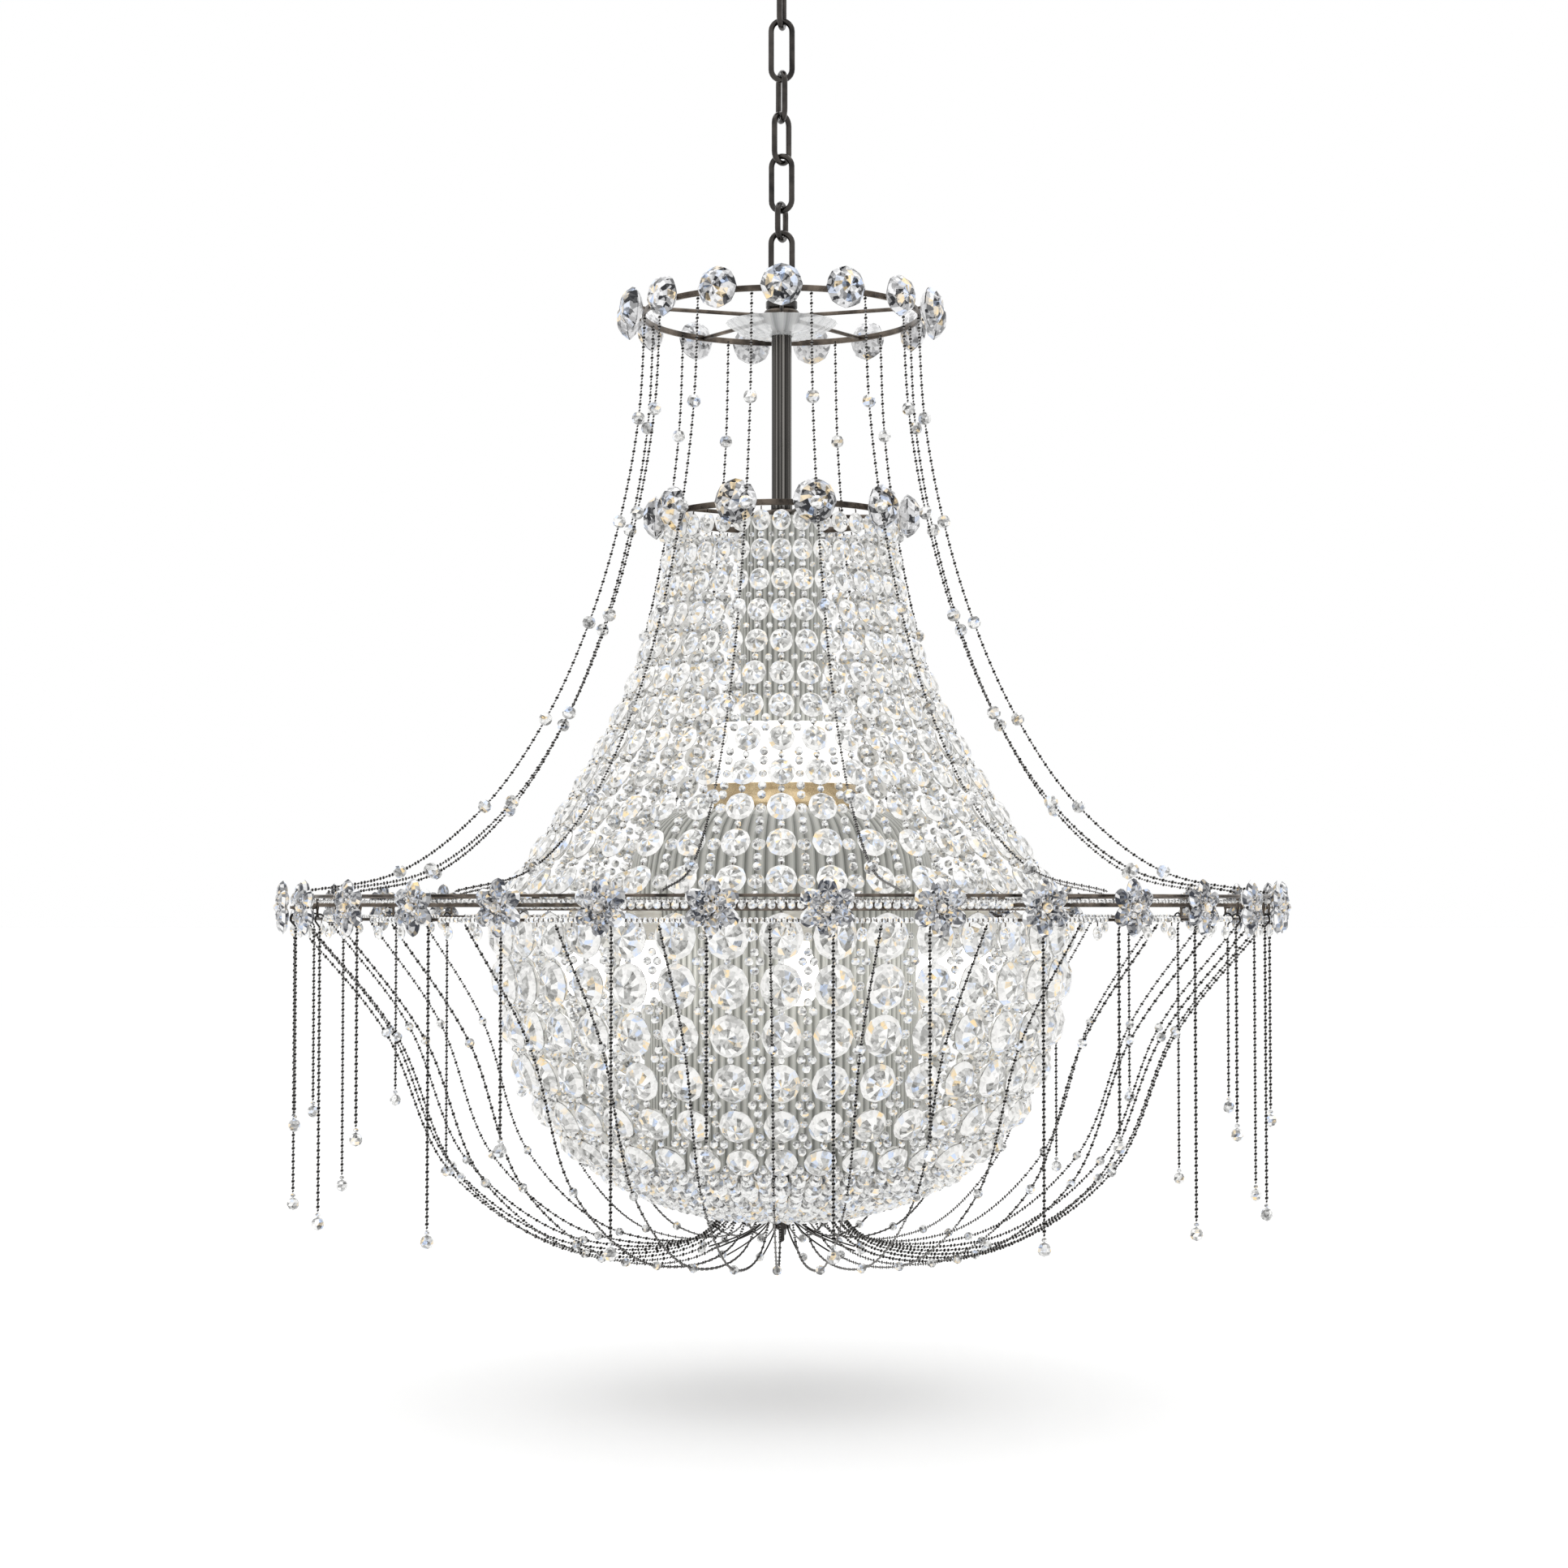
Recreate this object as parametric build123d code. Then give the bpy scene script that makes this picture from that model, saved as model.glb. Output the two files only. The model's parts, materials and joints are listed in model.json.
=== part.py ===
from build123d import *

import os
from functools import partial
from math import asin, cos, degrees, hypot, pi, sin, sqrt, tau

# Crystal chandelier that hangs on a link chain, in millimetres.
# The origin is the centre of the ceiling plate's top face, +Z is up and the front is -Y.
# Angles about Z are counted in degrees from the front, to the right.
# Levels are heights above the middle of the wide ring, and "placed" moves them to the ceiling frame.

# ---------------------------------------------------------------- driving sizes

# clearances
seat_gap = 0.3              # between a piece and what it rests on or hangs from
slide_gap = 0.05            # between a rod and the hole that holds it
hang_gap = 0.5              # between two wires that hang on each other

# ceiling fitting
plate_radius = 46.0
plate_thickness = 3.0
screw_spacing = 70.0
screw_hole_radius = 2.5
canopy_radius = 60.0
canopy_rim_height = 6.0
canopy_depth = 30.0
canopy_wall = 1.6
hook_wire = 4.4
hook_shank_radius = 3.0
hook_eye_radius = 8.0       # middle of the eye's wire
eye_bends = 12
hook_neck = 6.0             # shank that shows between canopy and eye

# chain, from the ceiling down
chain_wire = 4.0
link_width = 18.0
link_lengths = (41.5, 44.0, 36.5, 37.0, 41.0, 28.0)
link_turns = (78.0, 0.0, 107.0, 47.0, -15.0, 68.0)
wire_sides = 6
link_end_bends = 6

# stem
loop_length = 44.0          # from its feet to the middle of its crown
loop_collar_radius = 11.0
loop_collar_height = 8.5
stem_radius = 7.3
stem_wall = 1.2
rod_radius = 5.0

# crown
crown_level = 394.0
crown_radius = 95.0         # outside of the hoop
hoop_thickness = 2.0
hoop_height = 4.0
crown_stones = 15
crown_stone_width = 28.0
spoke_count = 5
spoke_width = 3.0
hub_radius = 12.0
hub_height = 8.0
hub_sides = 10
stem_sides = 16
pin_width = 2.4
pin_length = 2.0
dish_radius = 39.0
dish_depth = 9.0
dish_wall = 2.0
dish_drop = 3.0             # from the spokes down to the dish's rim

# middle ring
middle_level = 259.0
middle_radius = 75.6        # outside of the hoop
middle_stones = 10
middle_stone_width = 30.0
middle_turn = 15.0

# cut of the round stones, as shares of their width
stone_sides = 8
stone_front = 0.28
stone_back = 0.21
stone_table = 0.5

# octagon strands of the bell and the bowl
strands = 36
tip_gap = 0.3
bell_rows = 12
bell_last_to_first_pitch = 1.5
bell_top_width = 12.6
bell_foot_width = 19.5
bell_stone_depth = 7.0
bowl_rows = 6
bowl_top_width = 27.5
bowl_foot_width = 20.5
bowl_stone_depth = 13.0
bowl_bead_rows = 3
bead_sides = 3
bead_top_width = 13.0
bead_foot_width = 7.6

# inner ring and frame
inner_radius = 187.0        # outside of the ring
inner_ring_height = 7.0
inner_ring_thickness = 4.0
frame_arms = 8
arm_width = 4.0
arm_height = 4.0
frame_turn = 4.5            # first arm and first rosette
frame_hub_radius = 17.0
frame_hub_height = 6.0

# wide ring
ring_radius = 320.0         # middle of both hoops
ring_wire = 3.0
upper_hoop_level = 5.4
lower_hoop_level = -8.6
rosettes = 32
rosette_radius = 17.0
rosette_waist = 11.0
rosette_petals = 6
rosette_front = 8.0
rosette_back = 3.2
rosette_pin_length = 2.3
post_width = 2.4

# bottom
bottom_level = -203.0       # top of the plate
bottom_plate_radius = 44.0
bottom_plate_thickness = 2.5
boss_radius = 6.5
boss_height = 6.0
finial_radius = 2.0
finial_length = 9.0
sprays = 12
spray_turn = 15.0
spray_wire = 1.2
spray_reach = 50.0
spray_drop = 22.0
spray_bead_width = 8.0

# swags of chain between the rings
swag_chain = 2.2
chain_sides = 3
upper_swags = 15
upper_run_bends = 1
upper_swag_beads = 6
upper_bead_width = 9.5
lower_swags = 32
lower_run_bends = 1
lower_swag_beads = 3
lower_bead_width = 6.5

# dangles, in pairs of a long and a short one that swing together
long_dangle = 190.0
short_dangle = 135.0
dangle_chain = 1.8
dangle_spread = 27.5        # from the middle of a pair to each dangle
drop_width = 8.0
drop_length = 11.0
hook_reach = 2.9            # from the middle of the hoop to the middle of the dangle's hook

# lamps and glass
lamp_circle = 130.0
holder_radius = 11.0
holder_length = 20.0
bulb_radius = 16.0
bulb_neck = 8.0
bulb_length = 40.0
lamp_sides = 6
upper_tube_radius = 28.0
glass_wall = 2.5
fine_reeds = 16
wide_reeds = 24
drum_radius = 48.0
drum_top = 120.0
drum_height = 40.0
drum_foot_radius = 64.0     # foot of the gilt collar under the drum
drum_collar_height = 16.0
shade_radius = 103.0
shade_shoulder = 0.68       # share of the shade's height where its wall turns down
cylinder_radius = 92.0
cylinder_foot = -170.0

# ---------------------------------------------------------------- places worked out from the sizes

hub_top = crown_level + hub_height / 2
loop_foot = hub_top + loop_collar_height
loop_crown = loop_foot + loop_length
arm_top = arm_height / 2
holder_top = -arm_top - seat_gap
bulb_top = holder_top - holder_length - seat_gap
crown_inside = crown_radius - hoop_thickness
middle_inside = middle_radius - hoop_thickness
middle_underside = middle_level - hoop_height / 2
drum_foot = drum_top - drum_height
shade_top = drum_foot - drum_collar_height - 2 * seat_gap
bottom_underside = bottom_level - bottom_plate_thickness
rod_foot = bottom_underside - boss_height
lower_hoop_underside = lower_hoop_level - ring_wire / 2
upper_hoop_top = upper_hoop_level + ring_wire / 2
rosette_level = (upper_hoop_level + lower_hoop_level) / 2
hoop_axis = sqrt(ring_radius**2 - dangle_spread**2)

# middle of each link, and of the hook's eye, counted up from the stem's loop
link_levels = []
lowest_wire = loop_crown - chain_wire - hang_gap
for length in reversed(link_lengths):
    half = (length - chain_wire) / 2
    link_levels.insert(0, lowest_wire + half)
    lowest_wire += 2 * half - chain_wire - hang_gap
lowest_wire += (chain_wire - hook_wire) / 2
eye_level = lowest_wire + hook_eye_radius
canopy_underside = eye_level + hook_eye_radius + hook_wire / 2 + hook_neck
ceiling_level = canopy_underside + canopy_depth

# outlines, as radius and level
bell_outline = Bezier(
    (middle_radius - hoop_thickness / 2, 0, middle_underside - seat_gap),
    (middle_radius + 1, 0, 0.63 * middle_underside),
    (0.72 * inner_radius, 0, 0.3 * middle_underside),
    (inner_radius - inner_ring_thickness / 2, 0, inner_ring_height / 2 + seat_gap),
)
bowl_outline = Bezier(
    (inner_radius + 1, 0, -inner_ring_height / 2 - seat_gap),
    (inner_radius + 1, 0, 0.53 * bottom_level),
    (0.84 * inner_radius, 0, 0.9 * bottom_level),
    (bottom_plate_radius - 0.8, 0, bottom_level + seat_gap),
)
upper_swag_outline = Bezier(
    (crown_inside - seat_gap - swag_chain / 2, 0, crown_level),
    (crown_inside - 4, 0, 0.67 * crown_level),
    (0.49 * ring_radius, 0, 0),
    (ring_radius, 0, upper_hoop_top + seat_gap + swag_chain / 4),
)
lower_swag_outline = Bezier(
    (ring_radius - ring_wire / 2, 0, lower_hoop_underside - seat_gap - swag_chain / 4),
    (0.67 * ring_radius, 0, 0.09 * bottom_level),
    (ring_radius, 0, 1.15 * bottom_level),
    (0.3 * ring_radius, 0, 1.285 * bottom_level),
    (bottom_plate_radius - swag_chain, 0, bottom_underside - seat_gap - swag_chain / 4),
)

# ---------------------------------------------------------------- ways of making shapes


def at(angle):
    """Turn about Z that brings +X to an angle counted from the front."""
    return Rot(0, 0, angle - 90)


def around(shapes, count, first=0.0):
    """Copies of the shapes on a circle, the first at the angle given."""
    return [at(first + 360 * i / count) * shape for i in range(count) for shape in shapes]


def flat_sided(rings, joined=False):
    """Solid with flat faces between neighbouring rings of corners, where a ring of one corner is a tip."""
    pairs = list(zip(rings, rings[1:]))
    if joined:
        pairs.append((rings[-1], rings[0]))
    faces = []
    for one, other in pairs:
        count = max(len(one), len(other))
        for i in range(count):
            corners = []
            for ring, n in ((one, i), (one, i + 1), (other, i + 1), (other, i)):
                corner = ring[n % len(ring)]
                if corner not in corners:
                    corners.append(corner)
            faces.append(Face(Wire.make_polygon(corners)))
    for end in () if joined else (rings[0], rings[-1]):
        if len(end) > 2:
            faces.append(Face(Wire.make_polygon(end)))
    return Solid(Shell(faces))


def spun(profile, sides, joined=True):
    """Solid of flat sides about Z, through a profile of (radius, level) corners."""
    rings = []
    for radius, level in profile:
        count = sides if radius else 1
        turns = [tau * (i + 0.5) / sides for i in range(count)]
        rings.append([(radius * cos(turn), radius * sin(turn), level) for turn in turns])
    return flat_sided(rings, joined)


def wire_along(points, width, sides, joined=False):
    """Wire through points (x, z), with a flat-sided section that is mitred at each of them."""
    rings = []
    count = len(points)
    for i in range(count):
        legs = []
        if joined or i > 0:
            legs.append((points[i - 1], points[i]))
        if joined or i < count - 1:
            legs.append((points[i], points[(i + 1) % count]))
        normals = []
        for (x, z), (next_x, next_z) in legs:
            run = hypot(next_x - x, next_z - z)
            normals.append(((z - next_z) / run, (next_x - x) / run))
        across, up = (sum(parts) for parts in zip(*normals))
        lengthen = 1 / (across * normals[0][0] + up * normals[0][1])
        ring = []
        for side in range(sides):
            out = width / 2 * cos(tau * side / sides) * lengthen
            aside = width / 2 * sin(tau * side / sides)
            ring.append((points[i][0] + out * across, aside, points[i][1] + out * up))
        rings.append(ring)
    return flat_sided(rings, joined)


def flat_stone(width, length, depth):
    """Diamond-shaped stone with a ridge to each corner: width along Y, length along Z, depth along X."""
    waist = [(0, width / 2, 0), (0, 0, length / 2), (0, -width / 2, 0), (0, 0, -length / 2)]
    return flat_sided([[(-depth / 2, 0, 0)], waist, [(depth / 2, 0, 0)]])


def bead(width, length):
    """Small pointed bead along Z."""
    return spun([(0, -length / 2), (width / 2, 0), (0, length / 2)], bead_sides, joined=False)


def prism(width, start, end):
    """Three-sided pin along +X, from one radius to another."""
    turns = [tau * i / 3 for i in range(3)]
    section = [(width / 2 * cos(turn), width / 2 * sin(turn)) for turn in turns]
    return flat_sided([[(x, y, z) for y, z in section] for x in (start, end)])


def round_stone(width):
    """Round cut stone that faces +X: a pointed back, a girdle and a flat table."""
    rings = [[(-stone_back * width, 0, 0)]]
    for share, depth in ((1, 0), (stone_table, stone_front * width)):
        turns = [tau * (i + 0.5) / stone_sides for i in range(stone_sides)]
        radius = share * width / 2
        rings.append([(depth, radius * cos(turn), radius * sin(turn)) for turn in turns])
    return flat_sided(rings)


def bar(start, end, width, height):
    """Straight bar along +X, from one radius to another, centred on level 0."""
    return Pos((start + end) / 2, 0, 0) * Box(end - start, width, height)


def hoop(radius, thickness, height, level):
    """Flat round hoop with its outside at the radius, centred on the level."""
    band = extrude(Circle(radius) - Circle(radius - thickness), height)
    return Pos(0, 0, level - height / 2) * band.solid()


def collar(radius, hole, top, thickness, sides, turn=0.0):
    """Flat-sided ring below the level of its top, with the middle of a side at the angle."""
    wide = 1 / cos(pi / sides)
    foot = top - thickness
    profile = [(radius * wide, foot), (radius * wide, top), (hole * wide, top), (hole * wide, foot)]
    return at(turn) * spun(profile, sides)


def on_outline(outline, start, end, make):
    """Stone made to a length, with its tips on an outline at two shares of the outline's length."""
    top, foot = outline @ start, outline @ end
    run = top - foot
    lean = degrees(asin((foot.X - top.X) / run.length))
    return Pos((top + foot) / 2) * Rot(0, -lean, 0) * make(run.length - tip_gap)


def strung(outline, beads, width):
    """Beads at even lengths along a swag's outline, with room left at both ends."""
    share = width / 2 / outline.length
    middles = [(i + 1) / (beads + 1) for i in range(beads)]
    return [on_outline(outline, m - share, m + share, partial(bead, width)) for m in middles]


def chain_runs(outline, beads, width, bends):
    """Chain from bead to bead along the outline, with the given number of straight lengths in each run."""
    share = (width / 2 + seat_gap) / outline.length
    runs = []
    for i in range(beads + 1):
        start = i / (beads + 1) + (share if i > 0 else 0)
        end = (i + 1) / (beads + 1) - (share if i < beads else 0)
        places = [outline @ (start + (end - start) * n / bends) for n in range(bends + 1)]
        runs.append(wire_along([(place.X, place.Z) for place in places], swag_chain, chain_sides))
    return runs


# ---------------------------------------------------------------- ceiling fitting and chain


def ceiling_plate():
    plate = collar(plate_radius, hook_shank_radius + slide_gap, ceiling_level, plate_thickness, 24)
    for side in (-1, 1):
        drill = Cylinder(screw_hole_radius, 3 * plate_thickness)
        plate -= Pos(side * screw_spacing / 2, 0, ceiling_level) * drill
    return [plate.solid()]


def ceiling_canopy():
    rim, wall = canopy_radius, canopy_wall
    hole = hook_shank_radius + seat_gap
    shoulder = ceiling_level - canopy_rim_height
    profile = [
        (rim, ceiling_level), (rim, shoulder), (rim * 0.62, canopy_underside + 4),
        (hole, canopy_underside), (hole, canopy_underside + wall),
        (rim * 0.62 - wall, canopy_underside + 4 + wall), (rim - wall, shoulder), (rim - wall, ceiling_level),
    ]
    return [spun(profile, 20)]


def ceiling_hook():
    shank_foot = eye_level + hook_eye_radius
    length = ceiling_level - plate_thickness / 6 - shank_foot
    shank = Pos(0, 0, shank_foot + length / 2) * Cylinder(hook_shank_radius, length)
    turns = [tau * (i + 0.5) / eye_bends for i in range(eye_bends)]
    radius = hook_eye_radius / cos(pi / eye_bends)
    ring = [(radius * sin(turn), eye_level - radius * cos(turn)) for turn in turns]
    eye = wire_along(ring, hook_wire, wire_sides, joined=True)
    return [(shank + eye).solid()]


def link(length):
    """Oval link in the XZ plane, centred on the origin."""
    bend = (link_width - chain_wire) / 2
    straight = (length - link_width) / 2
    points = []
    for side in (1, -1):
        for i in range(link_end_bends + 1):
            turn = pi * i / link_end_bends
            points.append((side * bend * cos(turn), side * (straight + bend * sin(turn))))
    return wire_along(points, chain_wire, wire_sides, joined=True)


def chain_link(number):
    place = Pos(0, 0, link_levels[number]) * Rot(0, 0, link_turns[number])
    return [place * link(link_lengths[number])]


def stem_loop():
    bend = (link_width - chain_wire) / 2
    points = [(bend, loop_foot - 1)]
    for i in range(link_end_bends + 1):
        turn = pi * i / link_end_bends
        points.append((bend * cos(turn), loop_crown - bend + bend * sin(turn)))
    points.append((-bend, loop_foot - 1))
    foot = collar(loop_collar_radius, rod_radius + slide_gap, loop_foot, loop_collar_height, hub_sides)
    return [(wire_along(points, chain_wire, wire_sides) + foot).solid()]


# ---------------------------------------------------------------- stem, crown and middle ring


def stem_tube():
    top = crown_level - hub_height / 2
    foot = middle_level + hub_height / 2
    return [collar(stem_radius, stem_radius - stem_wall, top, top - foot, stem_sides)]


def centre_rod():
    top = loop_foot - seat_gap
    return [Pos(0, 0, (top + rod_foot) / 2) * Cylinder(rod_radius, top - rod_foot)]


def hub(level, turn):
    return [collar(hub_radius, rod_radius + slide_gap, level + hub_height / 2, hub_height, hub_sides, turn)]


def spokes(level, inside, turn):
    spoke = bar(hub_radius + slide_gap, inside - slide_gap, spoke_width, spoke_width)
    return around([Pos(0, 0, level) * spoke], spoke_count, turn)


def ring_band(radius, level, sides, turn):
    return [collar(radius, radius - hoop_thickness, level + hoop_height / 2, hoop_height, sides, turn)]


def stone_pins():
    pins = []
    for level, radius, length, count, first in (
        (crown_level, crown_radius, pin_length, crown_stones, 0),
        (middle_level, middle_radius, pin_length, middle_stones, middle_turn),
        (rosette_level, ring_radius + ring_wire / 2, rosette_pin_length, rosettes, frame_turn),
    ):
        pin = Pos(0, 0, level) * prism(pin_width, radius + slide_gap, radius + length - seat_gap)
        pins += around([pin], count, first)
    return pins


def stones(level, radius, width, count, first=0.0):
    middle = radius + pin_length + stone_back * width
    return around([Pos(middle, 0, level) * round_stone(width)], count, first)


def glass_dish():
    rim = crown_level - spoke_width / 2 - dish_drop
    foot = rim - dish_depth
    hole = (stem_radius + seat_gap) / cos(pi / stem_sides)
    flat = dish_radius * 0.55
    profile = [
        (hole, foot), (flat, foot), (dish_radius, rim - dish_wall / 2), (dish_radius - dish_wall / 2, rim),
        (flat - dish_wall / 2, foot + dish_wall), (hole, foot + dish_wall),
    ]
    return [at(0) * spun(profile, stem_sides)]


# ---------------------------------------------------------------- bell, bowl and frame


def row_ends(rows, growth):
    """Shares of an outline's length at which its rows of stones begin and end."""
    pitches = [1 + (growth - 1) * i / (rows - 1) for i in range(rows)]
    ends = [sum(pitches[:i]) / sum(pitches) for i in range(rows + 1)]
    return list(zip(ends, ends[1:]))


def widths(rows, first, last):
    return [first + (last - first) * i / (rows - 1) for i in range(rows)]


def bell_stones():
    ends = row_ends(bell_rows, bell_last_to_first_pitch)
    row_widths = widths(bell_rows, bell_top_width, bell_foot_width)
    strand = []
    for (start, end), width in zip(ends, row_widths):
        cut = partial(flat_stone, width, depth=bell_stone_depth)
        strand.append(on_outline(bell_outline, start, end, cut))
    return around(strand, strands)


def bowl_stones():
    ends = row_ends(bowl_rows + bowl_bead_rows, 1)[:bowl_rows]
    row_widths = widths(bowl_rows, bowl_top_width, bowl_foot_width)
    strand = []
    for (start, end), width in zip(ends, row_widths):
        cut = partial(flat_stone, width, depth=bowl_stone_depth)
        strand.append(on_outline(bowl_outline, start, end, cut))
    return around(strand, strands)


def bowl_beads():
    ends = row_ends(bowl_rows + bowl_bead_rows, 1)[bowl_rows:]
    row_widths = widths(bowl_bead_rows, bead_top_width, bead_foot_width)
    strand = []
    for (start, end), width in zip(ends, row_widths):
        strand.append(on_outline(bowl_outline, start, end, partial(bead, width)))
    return around(strand, strands)


def arms():
    inside = inner_radius - inner_ring_thickness
    inner = bar(frame_hub_radius + slide_gap, inside - seat_gap, arm_width, arm_height)
    outer_end = ring_radius - ring_wire / 2 - seat_gap
    outer = bar(inner_radius + seat_gap, outer_end, arm_width, arm_height)
    return around([inner, outer], frame_arms, frame_turn)


def frame_hub():
    height = frame_hub_height
    return [collar(frame_hub_radius, rod_radius + slide_gap, height / 2, height, 2 * frame_arms, frame_turn)]


def ring_hoop(level):
    return [hoop(ring_radius + ring_wire / 2, ring_wire, ring_wire, level)]


def hoop_posts():
    low = lower_hoop_level + ring_wire / 2
    high = upper_hoop_level - ring_wire / 2
    post = Pos(ring_radius, 0, 0) * Rot(0, 90, 0) * prism(post_width, -high + slide_gap, -low - slide_gap)
    return around([post], rosettes, frame_turn)


def rosette():
    """Flower of flat-cut petals that faces +X, with its back tip behind it."""
    edge = []
    for i in range(2 * rosette_petals):
        radius = rosette_waist if i % 2 else rosette_radius
        turn = pi * i / rosette_petals
        edge.append((0, radius * sin(turn), radius * cos(turn)))
    return flat_sided([[(-rosette_back, 0, 0)], edge, [(rosette_front, 0, 0)]])


def rosette_ring():
    middle = ring_radius + ring_wire / 2 + rosette_pin_length + rosette_back
    return around([Pos(middle, 0, rosette_level) * rosette()], rosettes, frame_turn)


# ---------------------------------------------------------------- bottom


def bottom_plate():
    hole = rod_radius + slide_gap
    return [collar(bottom_plate_radius, hole, bottom_level, bottom_plate_thickness, 24)]


def finial():
    """Nut on the end of the rod that carries the plate, closed below by a short pin."""
    top = bottom_underside - slide_gap
    foot = bottom_underside - boss_height - 2
    hole = (rod_radius + slide_gap) / cos(pi / hub_sides)
    end = rod_foot - seat_gap
    profile = [
        (0, end), (hole, end), (hole, top), (boss_radius, top), (boss_radius, foot),
        (finial_radius, foot), (finial_radius, foot - finial_length), (0, foot - finial_length),
    ]
    return [spun(profile, hub_sides, joined=False)]


def spray_points():
    start = (boss_radius + 4, bottom_underside - seat_gap - spray_wire / 4)
    bend = (boss_radius + 10, bottom_underside - spray_drop / 2)
    end = (spray_reach, bottom_underside - spray_drop)
    return [start, bend, end]


def spray_wires():
    return around([wire_along(spray_points(), spray_wire, chain_sides)], sprays, spray_turn)


def spray_beads():
    radius, level = spray_points()[-1]
    place = Pos(radius + seat_gap + spray_bead_width / 2, 0, level) * Rot(0, 90, 0)
    return around([place * bead(spray_bead_width, spray_bead_width)], sprays, spray_turn)


# ---------------------------------------------------------------- swags and dangles


def upper_swag(shapes):
    return around(shapes, upper_swags, 180 / upper_swags)


def lower_swag(shapes):
    return around(shapes, lower_swags, frame_turn + 180 / rosettes)


def dangle(length):
    """Hook over the hoop, chain and drop, hanging in the XZ plane from the origin."""
    reach = hook_reach
    hook = [(-reach, -reach / 2), (-reach, reach), (reach, reach), (reach, -reach / 2)]
    chain_foot = drop_length - length
    points = hook + [(0, -1.8 * reach), (0, chain_foot)]
    drop = Pos(0, 0, chain_foot - seat_gap - drop_length / 2) * bead(drop_width, drop_length)
    return [wire_along(points, dangle_chain, chain_sides), drop]


def dangle_pair(number):
    """A long and a short dangle, one beside each of two neighbouring rosettes."""
    angle = frame_turn + (number + 0.5) * 360 / (rosettes / 2) - 180 / rosettes
    pair = []
    for side, length in ((-1, long_dangle), (1, short_dangle)):
        place = at(angle) * Pos(hoop_axis, side * dangle_spread, lower_hoop_level)
        pair += [place * piece for piece in dangle(length)]
    return pair


# ---------------------------------------------------------------- lamps and glass


def lamp_holders():
    foot = holder_top - holder_length
    profile = [(0, holder_top), (holder_radius, holder_top), (holder_radius, foot), (0, foot)]
    holder = spun(profile, lamp_sides, joined=False)
    return around([Pos(lamp_circle, 0, 0) * holder], frame_arms, frame_turn)


def bulbs():
    neck = bulb_neck
    profile = [
        (0, bulb_top), (neck, bulb_top), (bulb_radius, bulb_top - bulb_length * 0.4),
        (bulb_radius, bulb_top - bulb_length * 0.7), (0, bulb_top - bulb_length),
    ]
    bulb = spun(profile, lamp_sides, joined=False)
    return around([Pos(lamp_circle, 0, 0) * bulb], frame_arms, frame_turn)


def glass_sleeve(radius, top, foot, reeds):
    inside = radius - glass_wall
    return [spun([(radius, foot), (radius, top), (inside, top), (inside, foot)], reeds)]


def opal_drum():
    hole = rod_radius + seat_gap
    inside = drum_radius - glass_wall
    profile = [
        (drum_radius, drum_foot), (drum_radius, drum_top), (hole, drum_top),
        (hole, drum_top - glass_wall), (inside, drum_top - glass_wall), (inside, drum_foot),
    ]
    return [spun(profile, fine_reeds)]


def drum_collar():
    top = drum_foot - seat_gap
    foot = top - drum_collar_height
    wall = 2 * glass_wall
    profile = [
        (drum_radius + glass_wall, top), (drum_foot_radius, foot),
        (drum_foot_radius - wall, foot), (drum_radius + glass_wall - wall, top),
    ]
    return [spun(profile, fine_reeds)]


def reeded_shade():
    foot = arm_top + seat_gap
    neck = drum_foot_radius - glass_wall / 2
    shoulder = foot + shade_shoulder * (shade_top - foot)
    profile = [
        (neck, shade_top), (shade_radius - 8, shoulder), (shade_radius, foot),
        (shade_radius - glass_wall, foot), (shade_radius - 8 - glass_wall, shoulder - 1),
        (neck - glass_wall, shade_top - 1),
    ]
    return [spun(profile, wide_reeds)]


# ---------------------------------------------------------------- writing


def write(node, solids):
    placed = [Pos(0, 0, -ceiling_level) * solid for solid in solids]
    export_step(Compound(placed), f"parts/{node}.step")


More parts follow.
